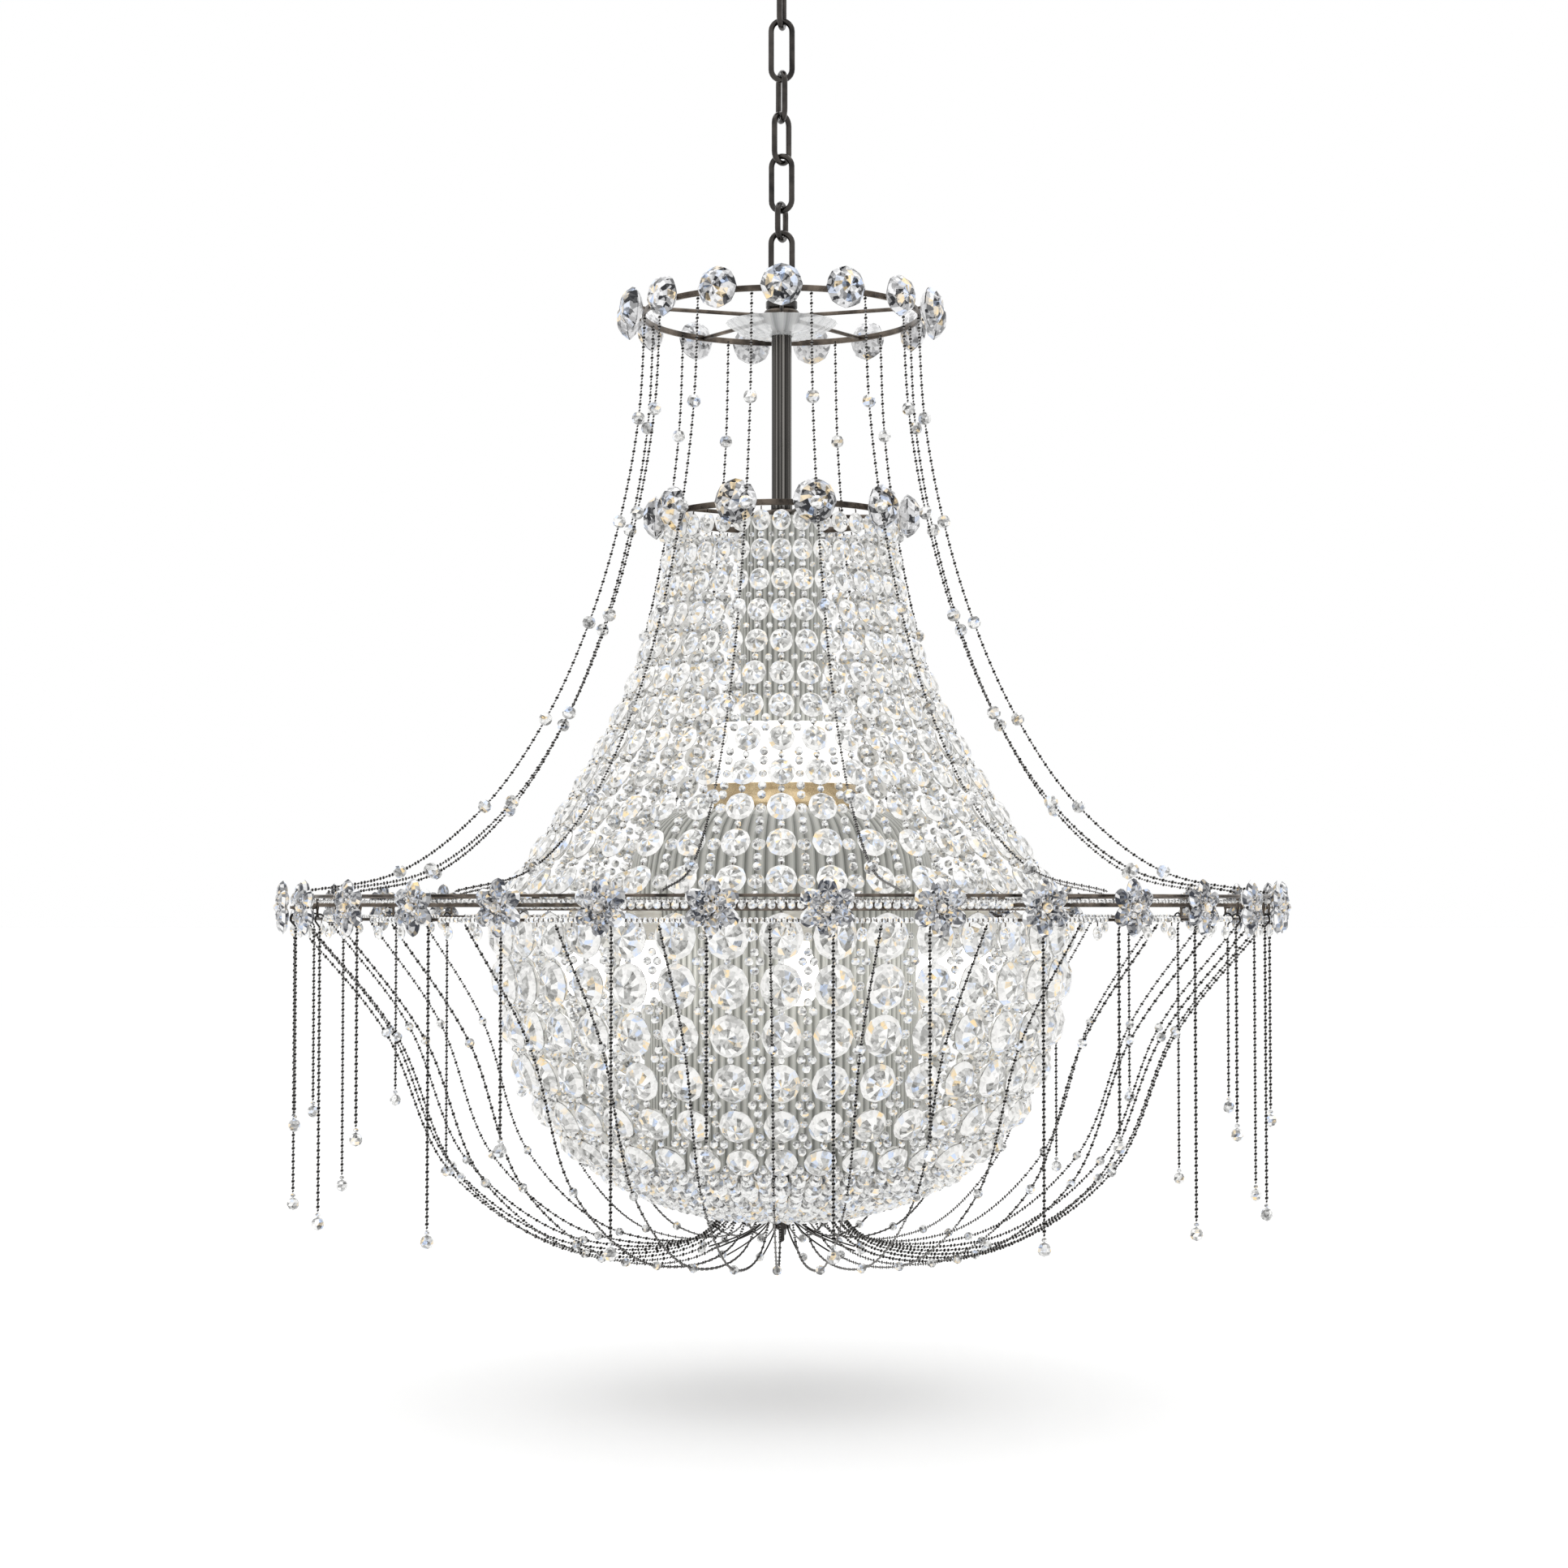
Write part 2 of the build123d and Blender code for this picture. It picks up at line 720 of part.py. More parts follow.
def main():
    os.makedirs("parts", exist_ok=True)
    write("ceiling_plate", ceiling_plate())
    write("ceiling_canopy", ceiling_canopy())
    write("ceiling_hook", ceiling_hook())
    for number in range(len(link_lengths)):
        write(f"chain_link_{number + 1}", chain_link(number))
    write("stem_loop", stem_loop())
    write("stem_tube", stem_tube())
    write("centre_rod", centre_rod())
    write("spoke_hubs", hub(crown_level, 0) + hub(middle_level, middle_turn))
    write("spokes", spokes(crown_level, crown_inside, 0) + spokes(middle_level, middle_inside, middle_turn))
    write("crown_hoop", ring_band(crown_radius, crown_level, 2 * crown_stones, 0))
    write("crown_stones", stones(crown_level, crown_radius, crown_stone_width, crown_stones))
    write("stone_pins", stone_pins())
    write("glass_dish", glass_dish())
    write("middle_hoop", ring_band(middle_radius, middle_level, 2 * middle_stones, middle_turn))
    middle = (middle_level, middle_radius, middle_stone_width, middle_stones)
    write("middle_stones", stones(*middle, middle_turn))
    write("bell_stones", bell_stones())
    write("inner_ring", [hoop(inner_radius, inner_ring_thickness, inner_ring_height, 0)])
    write("frame_hub", frame_hub())
    write("frame_arms", arms())
    write("outer_hoops", ring_hoop(upper_hoop_level) + ring_hoop(lower_hoop_level))
    write("hoop_posts", hoop_posts())
    write("rosettes", rosette_ring())
    write("bowl_stones", bowl_stones())
    write("bowl_beads", bowl_beads())
    write("bottom_plate", bottom_plate())
    write("finial", finial())
    write("spray_wires", spray_wires())
    write("spray_beads", spray_beads())
    upper = (upper_swag_outline, upper_swag_beads, upper_bead_width)
    lower = (lower_swag_outline, lower_swag_beads, lower_bead_width)
    write("upper_swag_chains", upper_swag(chain_runs(*upper, upper_run_bends)))
    write("upper_swag_beads", upper_swag(strung(*upper)))
    write("lower_swag_chains", lower_swag(chain_runs(*lower, lower_run_bends)))
    write("lower_swag_beads", lower_swag(strung(*lower)))
    write("lamp_holders", lamp_holders())
    write("bulbs", bulbs())
    tube_top = middle_level - spoke_width / 2 - seat_gap
    write("upper_glass_tube", glass_sleeve(upper_tube_radius, tube_top, drum_top + seat_gap, fine_reeds))
    write("opal_drum", opal_drum())
    write("drum_collar", drum_collar())
    write("reeded_shade", reeded_shade())
    write("reeded_cylinder", glass_sleeve(cylinder_radius, -arm_top - seat_gap, cylinder_foot, wide_reeds))
    for number in range(rosettes // 2):
        write(f"dangle_pair_{number + 1:02}", dangle_pair(number))
    print("ceiling level", ceiling_level, "link levels", link_levels)


if __name__ == "__main__":
    main()
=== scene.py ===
"""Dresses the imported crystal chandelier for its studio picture.

Every ornament takes its place from the solid that it stands for, so the frame decides where a stone,
bead or link hangs and this script decides how it is cut and finished. Lengths are in metres.
"""

import json
import logging
import math
import random
from dataclasses import dataclass, field
from enum import Enum
from typing import Callable, Iterable, Sequence

import bpy
import numpy as np
from mathutils import Matrix, Vector

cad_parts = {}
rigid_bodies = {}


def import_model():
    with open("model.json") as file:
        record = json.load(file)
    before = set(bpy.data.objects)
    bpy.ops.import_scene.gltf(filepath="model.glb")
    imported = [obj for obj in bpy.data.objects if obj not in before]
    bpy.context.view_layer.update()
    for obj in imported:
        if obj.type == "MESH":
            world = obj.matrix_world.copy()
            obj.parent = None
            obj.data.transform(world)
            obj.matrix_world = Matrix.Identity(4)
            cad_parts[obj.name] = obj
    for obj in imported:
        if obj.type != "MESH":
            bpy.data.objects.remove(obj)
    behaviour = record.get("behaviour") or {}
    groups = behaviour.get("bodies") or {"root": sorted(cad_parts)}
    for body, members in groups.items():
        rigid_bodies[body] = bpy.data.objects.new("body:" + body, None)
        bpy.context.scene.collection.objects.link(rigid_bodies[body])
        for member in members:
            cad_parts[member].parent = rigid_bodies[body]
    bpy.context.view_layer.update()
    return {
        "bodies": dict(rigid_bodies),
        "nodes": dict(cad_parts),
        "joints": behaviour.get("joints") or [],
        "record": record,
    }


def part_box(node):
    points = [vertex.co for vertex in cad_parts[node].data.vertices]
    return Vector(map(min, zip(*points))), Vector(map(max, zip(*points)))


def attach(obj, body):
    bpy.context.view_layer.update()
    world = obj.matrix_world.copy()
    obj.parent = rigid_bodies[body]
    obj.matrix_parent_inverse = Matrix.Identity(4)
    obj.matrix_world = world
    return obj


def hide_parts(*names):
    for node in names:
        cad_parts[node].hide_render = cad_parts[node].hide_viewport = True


log = logging.getLogger("chandelier")

MM = 0.001
UP = Vector((0.0, 0.0, 1.0))
Colour = tuple[float, float, float]
Point = Vector | np.ndarray
Profile = Sequence[tuple[float, float]]


# ---------------------------------------------------------------- shader maths


class Signal:
    """A shader socket that grows Math nodes when it is used in an expression."""

    def __init__(self, tree: "ShaderTree", socket: bpy.types.NodeSocket) -> None:
        """Wraps a socket.

        Args:
            tree: The shader tree that new nodes go into.
            socket: The output socket to carry.
        """
        self.tree = tree
        self.socket = socket

    def _math(self, operation: str, first: "Signal | float", second: "Signal | float") -> "Signal":
        """Adds one Math node.

        Args:
            operation: The Math node's operation.
            first: The upper value.
            second: The lower value.

        Returns:
            The node's result.
        """
        return self.tree.node("ShaderNodeMath", {"operation": operation}, {0: first, 1: second})

    def __add__(self, other: "Signal | float") -> "Signal":
        """Sum."""
        return self._math("ADD", self, other)

    __radd__ = __add__

    def __sub__(self, other: "Signal | float") -> "Signal":
        """Difference."""
        return self._math("SUBTRACT", self, other)

    def __rsub__(self, other: "Signal | float") -> "Signal":
        """Difference, with this one taken away."""
        return self._math("SUBTRACT", other, self)

    def __mul__(self, other: "Signal | float") -> "Signal":
        """Product."""
        return self._math("MULTIPLY", self, other)

    __rmul__ = __mul__


class ShaderTree:
    """A material's node tree with one Principled shader at its end."""

    def __init__(self, name: str) -> None:
        """Makes the material.

        Args:
            name: The material's name.
        """
        self.material = bpy.data.materials.new(name)
        self.material.use_nodes = True
        self.nodes = self.material.node_tree.nodes
        self.links = self.material.node_tree.links
        self.shader = next(n for n in self.nodes if n.type == "BSDF_PRINCIPLED")

    def _feed(self, socket: bpy.types.NodeSocket, value: object) -> None:
        """Links or sets one socket.

        Args:
            socket: The input socket.
            value: A signal, or a plain value.
        """
        if isinstance(value, Signal):
            self.links.new(value.socket, socket)
        else:
            socket.default_value = value

    def node(self, kind: str, settings: dict, inputs: dict, output: int | str = 0) -> Signal:
        """Adds a node: its settings first, then its sockets.

        Args:
            kind: The node's type.
            settings: Attributes of the node.
            inputs: Values or signals by socket name or number.
            output: The output that is wanted.

        Returns:
            That output.
        """
        made = self.nodes.new(kind)
        for name, value in settings.items():
            setattr(made, name, value)
        for key, value in inputs.items():
            self._feed(made.inputs[key], value)
        return Signal(self, made.outputs[output])

    def mix(self, factor: Signal | float, first: object, second: object) -> Signal:
        """Mixes two colours.

        Args:
            factor: Share of the second colour.
            first: The first colour.
            second: The second colour.

        Returns:
            The mixed colour.
        """
        settings = {"data_type": "RGBA", "clamp_factor": True}
        return self.node("ShaderNodeMix", settings, {0: factor, 6: first, 7: second}, 2)

    def face_value(self, name: str) -> Signal:
        """Reads a number that each face carries."""
        return self.node("ShaderNodeAttribute", {"attribute_name": name}, {}, "Fac")

    def noise(self, scale: Sequence[float], detail: float) -> Signal:
        """Noise over the piece.

        Args:
            scale: Cycles per metre along each axis.
            detail: Octaves of the noise.

        Returns:
            A value of about 0 to 1.
        """
        place = self.node("ShaderNodeTexCoord", {}, {}, "Object")
        place = self.node("ShaderNodeVectorMath", {"operation": "MULTIPLY"}, {0: place, 1: tuple(scale)})
        return self.node("ShaderNodeTexNoise", {}, {"Vector": place, "Scale": 1.0, "Detail": detail}, 0)

    def bump(self, height: Signal, distance: float, strength: float) -> Signal:
        """Turns a height into a normal.

        Args:
            height: The height signal.
            distance: Depth of the relief in metres.
            strength: Share of the relief.

        Returns:
            The normal.
        """
        inputs = {"Height": height, "Distance": distance, "Strength": strength}
        return self.node("ShaderNodeBump", {}, inputs, 0)

    def finish(self, **sockets: object) -> bpy.types.Material:
        """Feeds the Principled shader.

        Args:
            **sockets: Values by socket name, with spaces written as underscores.

        Returns:
            The material.
        """
        for name, value in sockets.items():
            self._feed(self.shader.inputs[name.replace("_", " ")], value)
        return self.material


# ---------------------------------------------------------------- finishes


PATCH_START = 0.32
PATCH_CONTRAST = 2.6
GRAIN_FINENESS = 9


def opaque(colour: Colour) -> tuple[float, float, float, float]:
    """Adds a full alpha to a colour."""
    return (*colour, 1.0)


@dataclass(frozen=True)
class MetalFinish:
    """A rubbed metal with faint patches and fine streaks along one axis; stretched upright, as on the
    gunmetal, the patches are painted reflections.
    """

    name: str
    dark: Colour
    light: Colour
    roughness: float
    patch: tuple[float, float, float] = (90.0, 90.0, 90.0)
    metallic: float = 1.0
    coat: float = 0.0
    # Share of the colour read from each face's tone, which on the stem and the fine chains paints reflection
    # streaks, highlights and shade.
    by_link: float = 0.0

    def material(self) -> bpy.types.Material:
        """Builds the material.

        Returns:
            The material.
        """
        tree = ShaderTree(self.name)
        patches = tree.noise(self.patch, 4.0)
        grain = tree.noise([axis * GRAIN_FINENESS for axis in self.patch], 2.0)
        # Rubbed wear patches, which on the gunmetal are stretched into painted reflection streaks, plus
        # painted light and shade from the face tones.
        wear_and_sheen = (patches - PATCH_START) * (PATCH_CONTRAST * (1 - self.by_link))
        share = wear_and_sheen + tree.face_value("tone") * self.by_link
        colour = tree.mix(share, opaque(self.dark), opaque(self.light))
        return tree.finish(
            Base_Color=colour,
            Metallic=self.metallic,
            Roughness=self.roughness + (grain - 0.5) * 0.18,
            Coat_Weight=self.coat,
            Coat_Roughness=0.08,
            Normal=tree.bump(grain, 0.00005, 0.25),
        )


@dataclass(frozen=True)
class CrystalFinish:
    """Cut crystal, where each facet carries the light that it throws back."""

    name: str
    dark: Colour
    bright: Colour
    glow: float
    cell: float
    contrast: tuple[float, float, float]
    cool: Colour = (0.56, 0.70, 0.98)
    warm: Colour = (1.0, 0.76, 0.40)

    def material(self) -> bpy.types.Material:
        """Builds the material.

        Returns:
            The material.
        """
        tree = ShaderTree(self.name)
        # Painted glints: Voronoi cells flash across the facets, and each face's tone paints the light that
        # the facet throws back.
        place = tree.node("ShaderNodeTexCoord", {}, {}, "Object")
        cells = tree.node("ShaderNodeTexVoronoi", {}, {"Vector": place, "Scale": self.cell}, "Color")
        flash = tree.node("ShaderNodeSeparateColor", {}, {"Color": cells}, 0)
        by_face, by_cell, lift = self.contrast
        tone = tree.face_value("tone") * by_face + flash * by_cell + lift
        colour = tree.mix(tone, opaque(self.dark), opaque(self.bright))
        # Painted warm and cool glints, where a facet's glint tint meets a bright cell.
        glint_tint = tree.face_value("glint_tint") * (flash * 1.6)
        colour = tree.mix(glint_tint * 0.75, colour, opaque(self.warm))
        colour = tree.mix(glint_tint * -0.6, colour, opaque(self.cool))
        return tree.finish(
            Base_Color=colour,
            Roughness=0.04 + flash * 0.10,
            Coat_Weight=0.15,
            Coat_Roughness=0.03,
            Specular_IOR_Level=0.35,
            # Painted glow that brightens the stones, though they are no lamp.
            Emission_Color=colour,
            Emission_Strength=self.glow,
        )


@dataclass(frozen=True)
class GlassFinish:
    """Pressed or opal glass, toned face by face and faintly cloudy; across flutes the tones are painted shade
    and highlight.
    """

    name: str
    shade: Colour
    light: Colour
    glow: float = 0.0
    roughness: float = 0.12
    alpha: float = 1.0

    def material(self) -> bpy.types.Material:
        """Builds the material.

        Returns:
            The material.
        """
        tree = ShaderTree(self.name)
        cloud = tree.noise((26.0, 26.0, 11.0), 3.0)
        # Face tones paint shade and highlight across the flutes; the cloud is the glass's own unevenness.
        share = tree.face_value("tone") + (cloud - 0.5) * 0.5
        colour = tree.mix(share, opaque(self.shade), opaque(self.light))
        return tree.finish(
            Base_Color=colour,
            Roughness=self.roughness + cloud * 0.06,
            Coat_Weight=0.4,
            Coat_Roughness=0.05,
            # The glow is lamp light on the bulbs and painted light on the opal, reeded and pressed glass.
            Emission_Color=colour,
            Emission_Strength=self.glow,
            Alpha=self.alpha,
        )


class Finish(Enum):
    """The finishes on the chandelier."""

    BLACK_STEEL = MetalFinish("blackened_steel", (0.012, 0.011, 0.011), (0.07, 0.062, 0.055), 0.24, coat=0.35)
    # Painted reflections: the gunmetal's patches stretch into upright streaks, and it reads the stem's streak
    # tones.
    GUNMETAL = MetalFinish(
        "gunmetal", (0.003, 0.0028, 0.0025), (0.34, 0.325, 0.305), 0.14, (230.0, 230.0, 4.0), by_link=0.8
    )
    BRONZE = MetalFinish("antique_bronze", (0.03, 0.026, 0.023), (0.20, 0.165, 0.135), 0.3)
    # Painted highlights and shade: the swag wire reads the light and dark tone of each fine link.
    SWAG_WIRE = MetalFinish("blackened_wire", (0.005, 0.005, 0.005), (0.30, 0.29, 0.28), 0.34, by_link=0.95)
    GILT = MetalFinish("gilt", (0.46, 0.34, 0.19), (0.72, 0.58, 0.37), 0.26)
    ENAMEL = MetalFinish(
        "black_enamel", (0.018, 0.018, 0.02), (0.04, 0.04, 0.042), 0.33, metallic=0.0, coat=0.6
    )
    IVORY = MetalFinish("ivory", (0.74, 0.70, 0.62), (0.88, 0.86, 0.80), 0.35, metallic=0.0, coat=0.3)
    # The stones' and beads' glow is painted light that brightens them.
    CLEAR_CRYSTAL = CrystalFinish(
        "clear_crystal", (0.17, 0.17, 0.16), (0.95, 0.945, 0.93), 0.08, 460.0, (0.88, 0.48, -0.08)
    )
    DEEP_CRYSTAL = CrystalFinish(
        "deep_crystal", (0.008, 0.009, 0.013), (0.88, 0.88, 0.89), 0.04, 380.0, (0.85, 0.95, -0.42)
    )
    BEAD_CRYSTAL = CrystalFinish(
        "bead_crystal", (0.09, 0.09, 0.09), (0.94, 0.94, 0.93), 0.08, 700.0, (0.8, 0.6, -0.06)
    )
    PETAL_CRYSTAL = CrystalFinish(
        "petal_crystal", (0.02, 0.024, 0.036), (0.92, 0.92, 0.92), 0.05, 170.0, (1.0, 0.4, -0.14)
    )
    # The reeded and pressed glass glow faintly and the opal drum brightly, as painted light; the frosted
    # bulbs are the lamps.
    REEDED = GlassFinish("reeded_glass", (0.15, 0.155, 0.14), (0.66, 0.665, 0.63), 0.04)
    PRESSED = GlassFinish("pressed_glass", (0.44, 0.45, 0.46), (0.80, 0.81, 0.81), 0.05, alpha=0.5)
    OPAL = GlassFinish("opal_glass", (0.92, 0.91, 0.88), (1.0, 1.0, 0.99), 0.85, 0.3)
    FROSTED = GlassFinish("frosted_bulb", (0.95, 0.93, 0.88), (1.0, 0.99, 0.96), 3.0, 0.4)


class FinishShelf:
    """Keeps one material for each finish."""

    made: dict[Finish, bpy.types.Material] = {}

    @classmethod
    def get(cls, finish: Finish) -> bpy.types.Material:
        """Gives a finish's material, made when it is first asked for.

        Args:
            finish: The finish.

        Returns:
            Its material.
        """
        if finish not in cls.made:
            cls.made[finish] = finish.value.material()
        return cls.made[finish]


# ---------------------------------------------------------------- how facets throw light


@dataclass(frozen=True)
class Sparkle:
    """How bright a cut's facets are, and how often one flashes warm or cool."""

    tones: tuple[float, ...]
    warm: float
    cool: float

    def facet(self, dice: random.Random) -> tuple[float, float]:
        """Draws one facet.

        Args:
            dice: The seeded source of chance.

        Returns:
            Tone from 0 to 1, and the painted glint's tint from -1 for cool to 1 for warm.
        """
        tone = dice.choice(self.tones)
        draw = dice.random()
        if draw < self.warm:
            return tone, dice.uniform(0.35, 1.0)
        if draw > 1 - self.cool:
            return tone, -dice.uniform(0.3, 1.0)
        return tone, 0.0


GIRDLE = Sparkle((0.08, 0.2, 0.3), 0.0, 0.0)
CLEAR_RIM = Sparkle((1.0, 1.0, 0.95, 0.85, 0.7, 0.45), 0.09, 0.08)
CLEAR_HEART = Sparkle((1.0, 0.7, 0.5, 0.36, 0.22, 0.06), 0.09, 0.12)
DEEP_RIM = Sparkle((1.0, 0.8, 0.5, 0.3, 0.12, 0.0), 0.12, 0.16)
DEEP_HEART = Sparkle((1.0, 0.7, 0.45, 0.25, 0.1, 0.0), 0.2, 0.2)
DEEP_BACK = Sparkle((1.0, 1.0, 1.0, 0.85, 0.6), 0.04, 0.05)
PETAL_RIM = Sparkle((1.0, 0.85, 0.3, 0.08, 0.0), 0.08, 0.06)
PETAL_HEART = Sparkle((0.06, 0.16, 0.32, 0.55), 0.08, 0.14)
# Painted shade at both ends of a bead, where its hole would be.
HOLE_SHADE = Sparkle((0.1, 0.25, 0.0, 0.5), 0.0, 0.05)
BALL_SIDE = Sparkle((1.0, 1.0, 0.9, 0.7, 0.45, 0.2), 0.08, 0.10)
HUNG_SIDE = Sparkle((1.0, 0.7, 0.3, 0.08, 0.0), 0.1, 0.14)
ROSETTE_HEART = Sparkle((1.0, 0.8, 0.6), 0.5, 0.1)
PLAIN = Sparkle((0.5,), 0.0, 0.0)

CLEAR = (CLEAR_HEART, CLEAR_HEART, CLEAR_RIM, GIRDLE, CLEAR_RIM, CLEAR_HEART, CLEAR_HEART)
DEEP = (DEEP_BACK, DEEP_BACK, DEEP_BACK, GIRDLE, DEEP_RIM, DEEP_HEART, DEEP_HEART)
PETAL = (PETAL_HEART, PETAL_HEART, PETAL_RIM, GIRDLE, PETAL_RIM, PETAL_HEART, PETAL_HEART)
BALL = (HOLE_SHADE, BALL_SIDE, BALL_SIDE, BALL_SIDE, HOLE_SHADE)
HUNG_BALL = (HOLE_SHADE, HUNG_SIDE, HUNG_SIDE, HUNG_SIDE, HOLE_SHADE)
DEEP_BALL = (HOLE_SHADE, DEEP_RIM, DEEP_RIM, DEEP_RIM, DEEP_RIM)
# Painted shade and highlight across one flute, from edge to edge.
FLUTE_SHADE_AND_HIGHLIGHT = (0.95, 0.62, 0.12, 0.34, 0.7, 0.9)
Sparkles = Sparkle | Sequence[Sparkle]


# ---------------------------------------------------------------- reading the frame


def furthest_apart(corners: np.ndarray) -> tuple[np.ndarray, np.ndarray]:
    """Finds the two corners that are furthest apart.

    Args:
        corners: The corners, one in each row.

    Returns:
        Both corners.
    """
    apart = np.linalg.norm(corners[:, None] - corners[None], axis=2)
    first, second = np.unravel_index(apart.argmax(), apart.shape)
    return corners[first], corners[second]


@dataclass(frozen=True)
class Solid:
    """The corners of one solid of a CAD node."""

    corners: np.ndarray

    @property
    def centre(self) -> Vector:
        """Middle of the solid's box."""
        return Vector((self.corners.min(0) + self.corners.max(0)) / 2)

    @property
    def outward(self) -> Vector:
        """Level direction from the chandelier's axis to the solid."""
        return Vector((self.centre.x, self.centre.y, 0.0)).normalized()

    @property
    def aside(self) -> Vector:
        """Level direction round the chandelier's axis."""
        return UP.cross(self.outward)

    def upright(self, level: float = 0.0) -> Matrix:
        """Place at a level on the upright line through the solid's middle."""
        return Matrix.Translation(Vector((self.centre.x, self.centre.y, level)))

    def reach(self, direction: Vector) -> tuple[float, float]:
        """Lowest and highest place of the corners along a direction."""
        along = self.corners @ np.array(direction)
        return float(along.min()), float(along.max())

    def ends(self, direction: Vector) -> tuple[Vector, Vector]:
        """Middles of the solid's two ends along a direction.

        Args:
            direction: A unit vector along the solid.

        Returns:
            The near and the far end.
        """
        along = self.corners @ np.array(direction)
        near = self.corners[along < along.min() + 0.2 * MM].mean(0)
        far = self.corners[along > along.max() - 0.2 * MM].mean(0)
        return Vector(near), Vector(far)

    def tips(self, in_plane: bool = False) -> tuple[Vector, Vector]:
        """The two corners that are furthest apart, the upper one first.

        Args:
            in_plane: Whether only corners in the upright plane through the axis count.

        Returns:
            The upper and the lower tip.
        """
        corners = self.corners
        if in_plane:
            offset = np.abs((corners - np.array(self.centre)) @ np.array(self.aside))
            corners = corners[offset < 0.1 * MM]
        upper, lower = sorted((Vector(tip) for tip in furthest_apart(corners)), key=lambda tip: -tip.z)
        return upper, lower


def solids_of(node: bpy.types.Object) -> list[Solid]:
    """Splits a CAD node into its separate solids.

    Args:
        node: The node's object.

    Returns:
        Its solids, in a fixed order.
    """
    mesh = node.data
    places = np.array([v.co for v in mesh.vertices], float).reshape(-1, 3)
    unique, index = np.unique(np.round(places / (0.001 * MM)).astype(np.int64), axis=0, return_inverse=True)
    index = index.reshape(-1)
    parent = list(range(len(unique)))

    def root(item: int) -> int:
        """Finds the corner that stands for a corner's solid.

        Args:
            item: The corner's number.

        Returns:
            The number of the corner that stands for its solid.
        """
        while parent[item] != item:
            parent[item] = parent[parent[item]]
            item = parent[item]
        return item

    for edge in mesh.edges:
        first, second = (root(int(index[v])) for v in edge.vertices)
        parent[max(first, second)] = min(first, second)
    groups: dict[int, list[int]] = {}
    for item in range(len(unique)):
        groups.setdefault(root(item), []).append(item)
    return [Solid(unique[members] * 0.001 * MM) for members in groups.values()]


# ---------------------------------------------------------------- building meshes


class Build:
    """Collects faces, each with a tone and a glint tint, for one visible piece; on stones, beads, flutes,
    fine links and the stem the tones are painted light and shade.
    """

    def __init__(self, name: str) -> None:
        """Starts an empty piece.

        Args:
            name: The piece's name, which also seeds its chance.
        """
        self.name = name
        self.corners: list[Vector] = []
        self.faces: list[tuple[int, ...]] = []
        self.tones: list[float] = []
        self.glint_tints: list[float] = []
        self.dice = random.Random(name)

    def face(self, corners: Sequence[int], tone: float, glint_tint: float = 0.0) -> None:
        """Adds a face over corners that are already there.

        Args:
            corners: Their numbers, in order.
            tone: The face's tone from 0 to 1.
            glint_tint: Its painted glint's tint from -1 for cool to 1 for warm.
        """
        self.faces.append(tuple(corners))
        self.tones.append(tone)
        self.glint_tints.append(glint_tint)

    def rings(
        self,
        rings: Sequence[Sequence[Vector]],
        sparkle: Sparkles = PLAIN,
        closed: bool = False,
        tone: Callable[[int, int], float] | None = None,
    ) -> None:
        """Covers rings of corners with faces, where a ring of one corner is a tip.

        Open ends that aren't tips get a face of their own.

        Args:
            rings: Rings of one count, or tips.
            sparkle: How the faces throw light, or one such for each row of faces.
            closed: Whether the last ring joins the first.
            tone: Gives the tone of a face from its row and column instead.
        """
        starts = []
        for ring in rings:
            starts.append(len(self.corners))
            self.corners.extend(ring)
        rows = len(rings) if closed else len(rings) - 1
        for row in range(rows):
            light = sparkle if isinstance(sparkle, Sparkle) else sparkle[row]
            after = (row + 1) % len(rings)
            low, high = rings[row], rings[after]
            count = max(len(low), len(high))
            for column in range(count):
                quad = []
                for start, ring, step in (
                    (starts[row], low, column), (starts[row], low, column + 1),
                    (starts[after], high, column + 1), (starts[after], high, column),
                ):
                    corner = start + step % len(ring)
                    if corner not in quad:
                        quad.append(corner)
                drawn, glint_tint = light.facet(self.dice)
                self.face(quad, tone(row, column) if tone else drawn, glint_tint)
        if not closed:
            for start, ring in ((starts[0], rings[0]), (starts[-1], rings[-1])):
                if len(ring) > 2:
                    drawn, glint_tint = light.facet(self.dice)
                    self.face([start + step for step in range(len(ring))], drawn, glint_tint)

    def done(self, finish: Finish, smooth: float | None = None) -> bpy.types.Object:
        """Makes the Blender object.

        Args:
            finish: The piece's finish.
            smooth: Degrees above which an edge stays sharp, or None for flat facets.

        Returns:
            The object.
        """
        mesh = bpy.data.meshes.new(self.name)
        mesh.from_pydata([tuple(corner) for corner in self.corners], [], self.faces)
        for name, values in (("tone", self.tones), ("glint_tint", self.glint_tints)):
            layer = mesh.attributes.new(name, "FLOAT", "FACE")
            layer.data.foreach_set("value", np.array(values, np.float32))
        if smooth is not None:
            mesh.shade_smooth()
            mesh.set_sharp_from_angle(angle=math.radians(smooth))
        mesh.materials.append(FinishShelf.get(finish))
        mesh.validate()
        made = bpy.data.objects.new(self.name, mesh)
        bpy.context.scene.collection.objects.link(made)
        return made


def circle(count: int, radius: float, level: float) -> list[Vector]:
    """Corners of a level ring round the origin.

    Args:
        count: Number of corners.
        radius: Radius of the ring.
        level: Its height.

    Returns:
        The corners.
    """
    steps = [math.tau * i / count for i in range(count)]
    return [Vector((radius * math.cos(s), radius * math.sin(s), level)) for s in steps]


